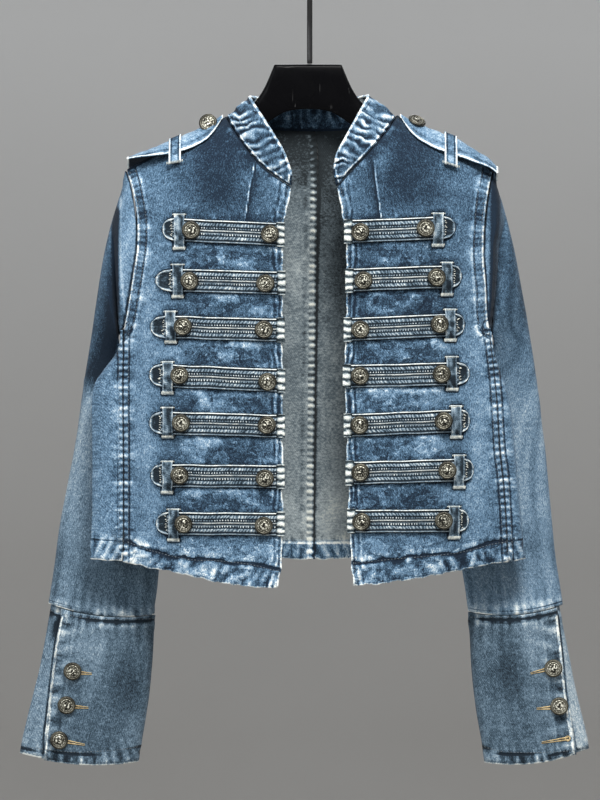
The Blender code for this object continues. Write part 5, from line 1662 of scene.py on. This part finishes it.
class Threads:
    """Sewing thread gathered into one piece: each stitch is a small stretched bead."""

    BATCH = 48

    def __init__(self):
        self.parts = []
        self.shape = bmesh.new()
        self.count = 0

    def bar(self, start, end, radius, flat=0.3):
        """One stitch from start to end, in millimetres."""
        run = end - start
        turn = run.to_track_quat("X", "Z").to_matrix().to_4x4()
        size = Matrix.Diagonal((run.length / 2, radius, max(flat, 0.15), 1))
        place = Matrix.Translation((start + end) / 2 * MM) @ turn @ Matrix.Scale(MM, 4) @ size
        bmesh.ops.create_uvsphere(self.shape, u_segments=6, v_segments=4, radius=1, matrix=place)
        self.count += 1
        if self.count % self.BATCH == 0:
            self.put_by()

    def put_by(self):
        mesh = bpy.data.meshes.new("stitches")
        self.shape.to_mesh(mesh)
        self.shape.free()
        self.parts.append(mesh)
        self.shape = bmesh.new()

    def satin(self, skin, inner, outer):
        """A short stitch between two places of the sheet, if both lie on cloth."""
        ends = []
        for spot in (inner, outer):
            hit = skin.seen(spot.x - SHEET_LEFT, SHEET_TOP - spot.y)[0]
            if hit is not None:
                ends.append(hit + Vector((0, -0.4, 0)))
        if len(ends) == 2 and (ends[0] - ends[1]).length > 0.2:
            self.bar(ends[0], ends[1], 0.55, 0.45)

    def row(self, skin, points, pitch=3.3, length=2.4, radius=0.27, back=False):
        """A row of stitches along a line of the sheet, laid on the cloth that is seen there."""
        line = curve_through(points, 0.8)
        steps = np.concatenate(([0], np.cumsum(np.linalg.norm(np.diff(line, axis=0), axis=1))))
        for start in np.arange(pitch / 2, steps[-1] - length, pitch):
            ends = []
            for where in (start, start + length):
                a, d = (np.interp(where, steps, line[:, k]) for k in (0, 1))
                hit = skin.seen(a - SHEET_LEFT, SHEET_TOP - d, back)[0]
                if hit is None:
                    break
                ends.append(hit + Vector((0, 0.1 if back else -0.1, 0)))
            if len(ends) == 2 and (ends[0] - ends[1]).length < length * 2:
                self.bar(ends[0], ends[1], radius)

    def finish(self, name, finish, slot):
        self.put_by()
        joined = bmesh.new()
        for part in self.parts:
            joined.from_mesh(part)
            bpy.data.meshes.remove(part)
        mesh = bpy.data.meshes.new(name)
        joined.to_mesh(mesh)
        joined.free()
        mesh.shade_smooth()
        return add_piece(name, mesh, finish)


def beside(points, shift):
    """The line on the sheet that runs beside another, to its right as it runs down."""
    line = curve_through(points, 6)
    way = np.gradient(line, axis=0)
    way /= np.linalg.norm(way, axis=1)[:, None]
    return line + shift * np.stack((way[:, 1], -way[:, 0]), axis=1)


# Button profile: radius, height and patina from dark to bright
BUTTON_PROFILE = (
    (0.0, 0.0, 0.1), (2.3, 0.0, 0.1), (2.3, 1.9, 0.1), (7.4, 2.0, 0.15), (8.8, 2.5, 0.35), (9.2, 3.1, 0.6),
    (9.0, 3.8, 0.85), (8.4, 4.4, 1.0), (7.6, 4.7, 0.95), (7.0, 4.6, 0.5), (6.6, 4.0, 0.0), (6.3, 3.9, 0.0),
    (5.9, 4.4, 0.7), (5.4, 4.5, 0.55), (5.0, 4.2, 0.1), (4.5, 4.3, 0.25), (4.0, 4.4, 0.3), (3.5, 4.5, 0.3),
    (3.0, 4.6, 0.3), (2.5, 4.65, 0.3), (2.0, 4.7, 0.3), (1.5, 4.75, 0.3), (1.0, 4.8, 0.3), (0.5, 4.8, 0.3),
    (0.0, 4.8, 0.3),
)
BUTTON_STEPS = 30


def button_mesh(name, seed, painted_brightening):
    shape = bmesh.new()
    corners = [shape.verts.new((radius * MM, 0, height * MM)) for radius, height, _ in BUTTON_PROFILE]
    edges = [shape.edges.new(pair) for pair in zip(corners, corners[1:])]
    bmesh.ops.spin(
        shape, geom=corners + edges, cent=(0, 0, 0), axis=(0, 0, 1), dvec=(0, 0, 0), angle=math.tau,
        steps=BUTTON_STEPS, use_merge=True,
    )
    bmesh.ops.remove_doubles(shape, verts=shape.verts, dist=2e-6)
    bmesh.ops.recalc_face_normals(shape, faces=shape.faces)
    patina_and_light = shape.verts.layers.float.new("patina_and_light")
    radii = [row[0] for row in BUTTON_PROFILE[3:]][::-1]
    bright = [row[2] for row in BUTTON_PROFILE[3:]][::-1]
    for corner in shape.verts:
        radius = math.hypot(corner.co.x, corner.co.y) / MM
        angle = math.atan2(corner.co.y, corner.co.x)
        top = corner.co.z / MM > 2.4
        value = float(np.interp(radius, radii, bright)) if top else 0.12
        if top and radius < 5.2:
            x, y = corner.co.x / MM, corner.co.y / MM
            relief = float(tangle(np.array(x / 1.1 + seed), np.array(y / 1.1), 400 + seed, 2)) * 1.6
            share = math.exp(-((radius / 4.6) ** 6))
            corner.co.z += 0.30 * relief * share * MM
            value += 1.25 * relief * share
        elif top and radius < 6.2:
            value += 0.45 * math.cos(12 * angle)
            corner.co.z += 0.15 * math.cos(12 * angle) * MM
        # Patina, raised as painted light on the left cuff's buttons
        corner[patina_and_light] = value + painted_brightening + 0.12 * math.sin(angle * 2 + seed)
    mesh = bpy.data.meshes.new(name)
    shape.to_mesh(mesh)
    shape.free()
    mesh.shade_smooth()
    return mesh


def add_button(name, place, turn, replaced=()):
    # The left cuff's buttons are painted brighter, standing in for light they miss
    mesh = button_mesh(name, sum(map(ord, name)) % 17, 0.13 if "cuff_left" in name else 0.0)
    mesh.transform(Matrix.Translation(Vector(place) * MM) @ turn)
    return add_piece(name, mesh, finishes()["brass"], replaced)


def sewn_buttons(wanted):
    face_front = Matrix.Rotation(math.pi / 2, 4, "X")
    for node in sorted(frame["nodes"]):
        if "_button" not in node or not node.startswith(wanted):
            continue
        low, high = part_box(node)
        middle = (low + high) / 2
        tilt = Matrix.Rotation(math.radians(3 * math.sin(sum(map(ord, node)))), 4, "Z")
        add_button(f"brass_{node}", (middle.x / MM, high.y / MM, middle.z / MM), face_front @ tilt, node)


EPAULETTES = {
    "right": (
        (0.00, -181, -193.5, 1.5, 15), (0.08, -173, -190.5, 2.5, 19), (0.40, -140, -177.8, 12, 20),
        (0.62, -118, -168.5, 16, 20), (0.80, -101, -160.5, 15, 15), (0.92, -91, -154.5, 9, 9),
        (1.00, -85, -151.0, 1, 3),
    ),
    "left": (
        (0.00, 190, -204, 6, 15), (0.08, 183, -195.5, 8, 19), (0.40, 149, -174.5, 17, 20),
        (0.62, 126, -166.0, 18, 20), (0.80, 108, -158.5, 15, 15), (0.92, 98, -153.5, 9, 9),
        (1.00, 92, -150.2, 1, 3),
    ),
}
LOOP_SHARE = {"right": 0.47, "left": 0.46}
LOOP_HALF = 0.062
EPAULETTE_BUTTON = {"right": 0.795, "left": 0.80}
EPAULETTE_WALL = 2.2


def dress_epaulette(side, skin, threads):
    table = np.array(EPAULETTES[side])

    def read(share, column):
        return np.interp(share, table[:, 0], table[:, column])

    def smooth_read(share, column):
        return sum(read(np.clip(share + d, 0, 1), column) for d in (-0.04, 0, 0.04)) / 3

    def ridge(share, reach, extra_half=0.0, extra_drop=0.0, lift=0.0):
        share, reach = np.broadcast_arrays(np.asarray(share, float), np.asarray(reach, float))
        half = smooth_read(share, 4) + extra_half
        tapered = np.sqrt(np.maximum(1 - ((share - 0.97) / 0.034) ** 2, 0.02))
        half = half * np.where(share > 0.97, tapered, 1.0)
        lowered = (smooth_read(share, 3) + extra_drop) * np.where(reach < 0, 1, 0.85) * np.abs(reach) ** 1.7
        lowered = lowered + np.where(reach > 0, 8.0 * reach, 0) * step_up(-share, -0.30, 0.0)
        ends = (share <= 0) | (share >= 1)
        across = np.where(ends, read(share, 1), smooth_read(share, 1))
        height = smooth_read(share, 2) + lift - lowered
        depth = np.array(reach * half)
        for spot in np.ndindex(share.shape):
            if reach[spot] < 0:
                hit = skin.seen(across[spot], height[spot])[0]
                if hit is not None:
                    depth[spot] = min(depth[spot], hit.y - 0.8 - EPAULETTE_WALL)
        return across, depth, height

    shape = bmesh.new()
    shares = np.array(
        sorted(set(np.round(np.concatenate((np.linspace(0, 1, 42), (0.006, 0.015, 0.985))), 4)))
    )
    ways = np.array((-1, -0.985, -0.95, -0.9, -0.84, -0.76, -0.66, -0.5, -0.25, 0))
    ways = np.concatenate((ways, -ways[-2::-1]))
    share, reach = np.meshgrid(shares, ways, indexing="ij")
    across, depth, height = ridge(share, reach)
    rim = np.maximum(step_up(np.abs(reach), 0.92, 0.975), 1 - step_up(share, 0.0, 0.02))
    rim = np.maximum(rim, step_up(share, 0.975, 0.99))
    ripple = drift(share * 21, reach * 1.1, 301)
    seam = bell(np.abs(reach) - 0.78, 0.07)
    rise = 0.35 * rim - 0.35 * seam + 0.55 * ripple * (np.abs(reach) < 0.99)
    # Pale top partly painted light from above, with worn rims and dark sewn seams
    wash = (
        0.75
        + 0.5 * rim
        - 1.2 * seam
        + 0.7 * ripple * (0.3 + seam)
        + 0.4 * drift(share * 8, reach * 1.5, 300)
    )
    edge = np.minimum((1 - np.abs(reach)) * 19, np.minimum(share * 100, (1 - share) * 100))
    outer = np.stack((across, depth - 0.3 * (reach < 0) * rise, height + rise), axis=2)
    under = np.stack(
        (across, depth + 0.5 * reach, height - EPAULETTE_WALL * (1 - 0.4 * np.abs(reach))), axis=2
    )
    # The under sheet is painted dark as shade, so the wall falls from the pale rim into painted shadow
    slab(
        shape, outer, under, np.where(share < 0.01, 1.2, -3.4), wash=wash,
        pale=np.maximum(edge - 0.3, 0) * 1.25 + 0.15,
    )

    loop = LOOP_SHARE[side]
    loop_shares = loop + LOOP_HALF * np.array((-1, -0.93, -0.8, -0.6, -0.3, 0, 0.3, 0.6, 0.8, 0.93, 1))
    share, reach = np.meshgrid(loop_shares, np.linspace(-1.16, 1.12, 26), indexing="ij")
    across, depth, height = ridge(share, reach, 1.5, 7, 1.0)
    drop = smooth_read(share, 3)
    under_loop = (np.maximum((drop + 7) * np.abs(reach) ** 1.7 - 1, 0) / drop) ** (1 / 1.7)
    depth = np.where(
        reach < 0, np.minimum(depth, -smooth_read(share, 4) * np.minimum(under_loop, 1)) - 1.4, depth
    )
    edge = np.abs(share - loop) / LOOP_HALF
    rib = bell(edge - 0.8, 0.18)
    rise = np.where(edge < 0.99, 1.2 + 0.4 * rib + 0.3 * drift(reach * 6, edge, 302), 0.5)
    wash = -0.3 + 1.5 * rib + 0.9 * bell(np.abs(reach) - 1.05, 0.1) + 1.0 * drift(reach * 7, edge, 303)
    forward = -0.8 * np.clip(-reach, 0, 1) * rise
    outer = np.stack(
        (across, depth + forward, height + rise * (1 - 0.5 * np.abs(np.minimum(reach, 1)))), axis=2
    )
    under = np.stack((across, depth, height - 0.2), axis=2)
    inset = (1 - edge) * LOOP_HALF * 107
    slab(shape, outer, under, wash=wash, pale=np.abs(inset - 0.9) + 0.25, dark=np.abs(inset - 3.0))
    name = f"shoulder_strap_{side}"
    piece = add_piece(name, laid_mesh(name, shape), finishes()["denim"], f"epaulette_{side}")

    own = Skin(piece)
    for step in range(13):
        foot = Vector(
            float(value) for value in ridge(loop + LOOP_HALF * 1.25 * (step / 6 - 1), -1.13, 1.5, 7, 1.0)
        )
        hit = own.seen(foot.x, foot.z)[0] or foot
        threads.bar(
            Vector((foot.x, hit.y - 0.5, foot.z - 1.6)), Vector((foot.x, hit.y - 0.5, foot.z + 1.8)), 0.5,
            0.42,
        )

    share = EPAULETTE_BUTTON[side]
    rise = read(share - 0.05, 2) - read(share + 0.05, 2)
    run = read(share - 0.05, 1) - read(share + 0.05, 1)
    tilt = math.atan2(rise, run) if run > 0 else math.atan2(-rise, -run)
    forward = Matrix.Rotation(math.radians(72 if side == "right" else 30), 4, "X")
    turn = Matrix.Rotation(-tilt, 4, "Y") @ forward
    shift = (2.0, -1.5, 1.2) if side == "right" else (0.0, 0.0, -0.6)
    place = (read(share, 1) + shift[0], shift[1], read(share, 2) + shift[2])
    add_button(f"brass_epaulette_{side}", place, turn)
    return piece


BUTTONHOLES = {
    "right": (((79, 673.5), (91, 674.5)), ((73, 707.5), (87.5, 708.5)), ((66, 742.5), (84, 745.5))),
    "left": (((546, 670.5), (531.5, 674)), ((552, 708.5), (537.5, 709.5)), ((568.6, 739.5), (542.5, 743.5))),
}


def sew_buttonholes(side, skin, golden):
    """Satin stitches round each slit, drawn to a point at the far end, open round the eye."""
    for start, end in BUTTONHOLES[side]:
        start, end = Vector(start), Vector(end)
        run = (end - start).normalized()
        across = Vector((-run.y, run.x))
        length = (end - start).length
        count = int(length / 0.6)
        for step in range(count + 1):
            share = step / count
            reach = 2.2 * (1 - 0.55 * share)
            for lip in (-1, 1):
                inner = start + run * (share * length) + across * lip * 0.30
                outer = start + run * (share * length) + across * lip * reach
                golden.satin(skin, inner, outer)
        if side == "left" and start.x > 560:
            for step in range(18):
                angle = step / 18 * math.tau
                way = Vector((math.cos(angle), math.sin(angle)))
                golden.satin(skin, start + way * 1.2, start + way * 3.2)


# ---------------------------------------------------------------- hanger


def smooth_copy(node, name, finish, levels, crease_turn):
    shape = bmesh.new()
    shape.from_mesh(frame["nodes"][node].data)
    bmesh.ops.remove_doubles(shape, verts=shape.verts, dist=WELD)
    bmesh.ops.join_triangles(
        shape, faces=shape.faces, angle_face_threshold=QUAD_TURN, angle_shape_threshold=QUAD_SKEW
    )
    crease = shape.edges.layers.float.new("crease_edge")
    for edge in shape.edges:
        if edge.calc_face_angle(0) > crease_turn:
            edge[crease] = 0.7
    mesh = bpy.data.meshes.new(name)
    shape.to_mesh(mesh)
    shape.free()
    piece = add_piece(name, mesh, finish, node)
    finer = piece.modifiers.new("Fine", "SUBSURF")
    finer.levels = finer.render_levels = levels
    mesh.shade_smooth()
    return piece


# ---------------------------------------------------------------- operators


class JacketLooks(bpy.types.PropertyGroup):
    """Finishes that a user would change."""

    wall_colour: FloatVectorProperty(
        name="Wall Colour", description="Paint of the wall at its top", subtype="COLOR",
        default=(0.95, 0.945, 0.93),
    )
    floor_and_shade_colour: FloatVectorProperty(
        name="Floor Colour", description="Paint of the floor and wall foot", subtype="COLOR",
        default=(0.50, 0.48, 0.45),
    )
    key_power: FloatProperty(
        name="Key Power", description="Power of the large soft light", default=118.0, unit="POWER"
    )
    fill_power: FloatProperty(
        name="Fill Power", description="Power of the fill light", default=36.0, unit="POWER"
    )
    air_light: FloatProperty(
        name="Air Light", description="Strength of the even light", default=0.55, min=0.0
    )


class JacketSizes(bpy.types.PropertyGroup):
    """Sizes that a user would change."""

    stitch_pitch: FloatProperty(
        name="Stitch Pitch", description="Distance from one stitch to the next", default=0.0033, unit="LENGTH"
    )
    camera_distance: FloatProperty(
        name="Camera Distance", description="From the camera to the jacket", default=9.0, unit="LENGTH"
    )
    picture_height: FloatProperty(
        name="Picture Height", description="Height of the picture at the jacket", default=0.8, unit="LENGTH"
    )


class JACKET_OT_fronts(bpy.types.Operator):
    """Dresses both fronts with puckers, darts, hems and worn edges"""

    bl_idname = "jacket.fronts"
    bl_label = "Dress Fronts"

    def execute(self, context):
        for side in SIDES:
            dress_front(side)
        return {"FINISHED"}


class JACKET_OT_backs(bpy.types.Operator):
    """Dresses both back panels and their felled seam"""

    bl_idname = "jacket.backs"
    bl_label = "Dress Backs"

    def execute(self, context):
        for side in SIDES:
            dress_back(side)
        return {"FINISHED"}


class JACKET_OT_sleeves(bpy.types.Operator):
    """Dresses both sleeves and their cuffs"""

    bl_idname = "jacket.sleeves"
    bl_label = "Dress Sleeves"

    def execute(self, context):
        for side in SIDES:
            dress_sleeve(side)
            dress_cuff(side)
        return {"FINISHED"}


class JACKET_OT_collar(bpy.types.Operator):
    """Dresses the stand collar with its level folds"""

    bl_idname = "jacket.collar"
    bl_label = "Dress Collar"

    def execute(self, context):
        dress_collar()
        return {"FINISHED"}


class JACKET_OT_straps(bpy.types.Operator):
    """Lays the ribbed straps and the shoulder straps with their bartacks and shoulder buttons"""

    bl_idname = "jacket.straps"
    bl_label = "Lay Straps"

    def execute(self, context):
        for side in SIDES:
            skin = Skin(frame["nodes"][f"front_{side}"])
            threads = Threads()
            for number in range(len(STRAPS[side])):
                dress_strap(side, number, skin, threads)
            dress_epaulette(side, skin, threads)
            threads.finish(f"bartacks_{side}", finishes()["pale"], "denim_strap")
        return {"FINISHED"}


class JACKET_OT_buttons(bpy.types.Operator):
    """Sets the domed buttons on straps and cuffs"""

    bl_idname = "jacket.buttons"
    bl_label = "Set Buttons"

    def execute(self, context):
        sewn_buttons("frog_")
        sewn_buttons("cuff_")
        return {"FINISHED"}


class JACKET_OT_sewing(bpy.types.Operator):
    """Sews the rows of topstitching and the buttonholes"""

    bl_idname = "jacket.sewing"
    bl_label = "Sew"

    def execute(self, context):
        pitch = context.scene.jacket_sizes.stitch_pitch / MM
        for side in SIDES:
            way = SIDES[side]
            body = Skin(bpy.data.objects[f"jacket_front_{side}"], bpy.data.objects[f"jacket_back_{side}"])
            rows = Threads()
            rows.row(body, HEM_STITCH[side], pitch)
            inner = -way * ARMHOLE_TOPSTITCH[side]
            rows.row(body, beside(ARMHOLE[side], inner), pitch)
            rows.row(body, beside(ARMHOLE[side], -way * 2.4), pitch)
            for shift in (-4.6, 4.6):
                rows.row(body, beside(SIDE_SEAM[side], shift), pitch)
            rows.row(body, beside(CENTRE_FRONT[side], way * 3.4), pitch)
            rows.row(body, beside(NECK_SEAM[side], 2.6 if way < 0 else -2.6), pitch)
            rows.finish(f"stitches_front_{side}", finishes()["thread"], "denim")

            sleeve = Skin(bpy.data.objects[f"jacket_sleeve_{side}"], bpy.data.objects[f"jacket_cuff_{side}"])
            rows = Threads()
            rows.row(sleeve, beside(CUFF_TOP[side], 2.4), pitch)
            rows.row(sleeve, CUFF_HEM[side], pitch)
            rows.row(sleeve, beside(CUFF_EDGE[side], 3.0 if way < 0 else -3.0), pitch)
            rows.finish(f"stitches_cuff_{side}", finishes()["thread"], "denim")
            golden = Threads()
            sew_buttonholes(side, sleeve, golden)
            golden.finish(f"buttonholes_{side}", finishes()["golden"], "denim")
        return {"FINISHED"}


class JACKET_OT_hanger(bpy.types.Operator):
    """Rounds the hanger and its hook"""

    bl_idname = "jacket.hanger"
    bl_label = "Finish Hanger"

    def execute(self, context):
        smooth_copy(
            "hanger_body", "gloss_hanger", finishes()["plastic"], 2, math.radians(45)
        )
        smooth_copy("hanger_hook", "wire_hook", finishes()["wire"], 2, math.radians(60))
        return {"FINISHED"}


class JACKET_OT_stage(bpy.types.Operator):
    """Sets the floor, the wall, the lights and the camera"""

    bl_idname = "jacket.stage"
    bl_label = "Set Stage"

    def execute(self, context):
        looks = context.scene.jacket_looks
        sizes = context.scene.jacket_sizes
        set_backdrop(looks)
        set_lights(looks)
        set_camera(sizes)
        return {"FINISHED"}


FLOOR_HEIGHT = -2.0
ROOM_RADIUS = 22.0
COVE_RADIUS = 1.0
WALL_TOP = 6.0
COVE_STEPS = 8
ROOM_STEPS = 96
SENSOR_WIDTH = 36.0
# Every lamp points at the middle of the jacket
LAMP_TARGET = (0.0, 0.0, -0.42)


def set_backdrop(looks):
    """A round room with a coved floor, so that every view has the same plain ground."""
    shape = bmesh.new()
    profile = [(0.0, FLOOR_HEIGHT), (ROOM_RADIUS - COVE_RADIUS, FLOOR_HEIGHT)]
    for step in range(1, COVE_STEPS + 1):
        angle = step / COVE_STEPS * math.pi / 2
        radius = ROOM_RADIUS - COVE_RADIUS + COVE_RADIUS * math.sin(angle)
        profile.append((radius, FLOOR_HEIGHT + COVE_RADIUS * (1 - math.cos(angle))))
    profile.append((ROOM_RADIUS, WALL_TOP))
    corners = [shape.verts.new((radius, 0, height)) for radius, height in profile]
    edges = [shape.edges.new(pair) for pair in zip(corners, corners[1:])]
    bmesh.ops.spin(
        shape, geom=corners + edges, cent=(0, 0, 0), axis=(0, 0, 1), dvec=(0, 0, 0), angle=math.tau,
        steps=ROOM_STEPS, use_merge=True,
    )
    bmesh.ops.remove_doubles(shape, verts=shape.verts, dist=1e-4)
    bmesh.ops.recalc_face_normals(shape, faces=shape.faces)
    mesh = bpy.data.meshes.new("studio_room")
    shape.to_mesh(mesh)
    shape.free()
    mesh.shade_smooth()
    room = bpy.data.objects.new("studio_room", mesh)
    bpy.context.scene.collection.objects.link(room)
    mesh.materials.append(backdrop_material(looks))


def add_light(name, place, target, size, power, colour):
    light = bpy.data.lights.new(name, "AREA")
    light.shape = "RECTANGLE"
    light.size, light.size_y = size
    light.energy = power
    light.color = colour
    thing = bpy.data.objects.new(name, light)
    bpy.context.scene.collection.objects.link(thing)
    thing.location = place
    thing.rotation_mode = "QUATERNION"
    thing.rotation_quaternion = (Vector(target) - Vector(place)).to_track_quat("-Z", "Y")
    thing.visible_camera = False
    return thing


def set_lights(looks):
    add_light("key_light", (0.35, -1.9, 1.65), LAMP_TARGET, (1.0, 0.8), looks.key_power, (1.0, 0.985, 0.96))
    add_light("fill_light", (-2.2, -2.0, 0.4), LAMP_TARGET, (1.6, 1.6), looks.fill_power, (0.93, 0.97, 1.0))
    add_light("back_light", (0.4, 2.6, 1.2), LAMP_TARGET, (1.8, 1.2), looks.fill_power, (1.0, 1.0, 1.0))
    world = bpy.data.worlds.new("studio_air")
    bpy.context.scene.world = world
    world.use_nodes = True
    ground = world.node_tree.nodes["Background"]
    ground.inputs["Color"].default_value = (0.93, 0.96, 1.0, 1)
    ground.inputs["Strength"].default_value = looks.air_light
    bpy.context.scene.view_settings.view_transform = "Standard"


def set_camera(sizes):
    lens = bpy.data.cameras.new("camera")
    camera = bpy.data.objects.new("camera", lens)
    bpy.context.scene.collection.objects.link(camera)
    camera.location = (-0.008, -sizes.camera_distance, -0.436)
    camera.rotation_euler = (math.pi / 2, 0, 0)
    lens.sensor_width = SENSOR_WIDTH
    lens.lens = SENSOR_WIDTH * sizes.camera_distance / sizes.picture_height
    lens.clip_start, lens.clip_end = 0.1, 60.0
    bpy.context.scene.camera = camera


class JACKET_PT_panel(bpy.types.Panel):
    """Lists the steps that dress the jacket"""

    bl_idname = "JACKET_PT_panel"
    bl_label = "Denim Jacket"
    bl_space_type = "VIEW_3D"
    bl_region_type = "UI"
    bl_category = "Jacket"

    def draw(self, context):
        for step in STEPS:
            self.layout.operator(step.bl_idname)
        for group in (context.scene.jacket_looks, context.scene.jacket_sizes):
            for name in group.__annotations__:
                self.layout.prop(group, name)


STEPS = (
    JACKET_OT_fronts,
    JACKET_OT_backs,
    JACKET_OT_sleeves,
    JACKET_OT_collar,
    JACKET_OT_straps,
    JACKET_OT_buttons,
    JACKET_OT_sewing,
    JACKET_OT_hanger,
    JACKET_OT_stage,
)
CLASSES = (JacketLooks, JacketSizes, *STEPS, JACKET_PT_panel)


def register():
    for made in CLASSES:
        bpy.utils.register_class(made)
    bpy.types.Scene.jacket_looks = PointerProperty(type=JacketLooks)
    bpy.types.Scene.jacket_sizes = PointerProperty(type=JacketSizes)


def unregister():
    del bpy.types.Scene.jacket_looks
    del bpy.types.Scene.jacket_sizes
    for made in reversed(CLASSES):
        bpy.utils.unregister_class(made)


def main():
    register()
    bpy.ops.jacket.fronts()
    bpy.ops.jacket.backs()
    bpy.ops.jacket.sleeves()
    bpy.ops.jacket.collar()
    bpy.ops.jacket.straps()
    bpy.ops.jacket.buttons()
    bpy.ops.jacket.sewing()
    bpy.ops.jacket.hanger()
    bpy.ops.jacket.stage()


if __name__ == "__main__":
    main()
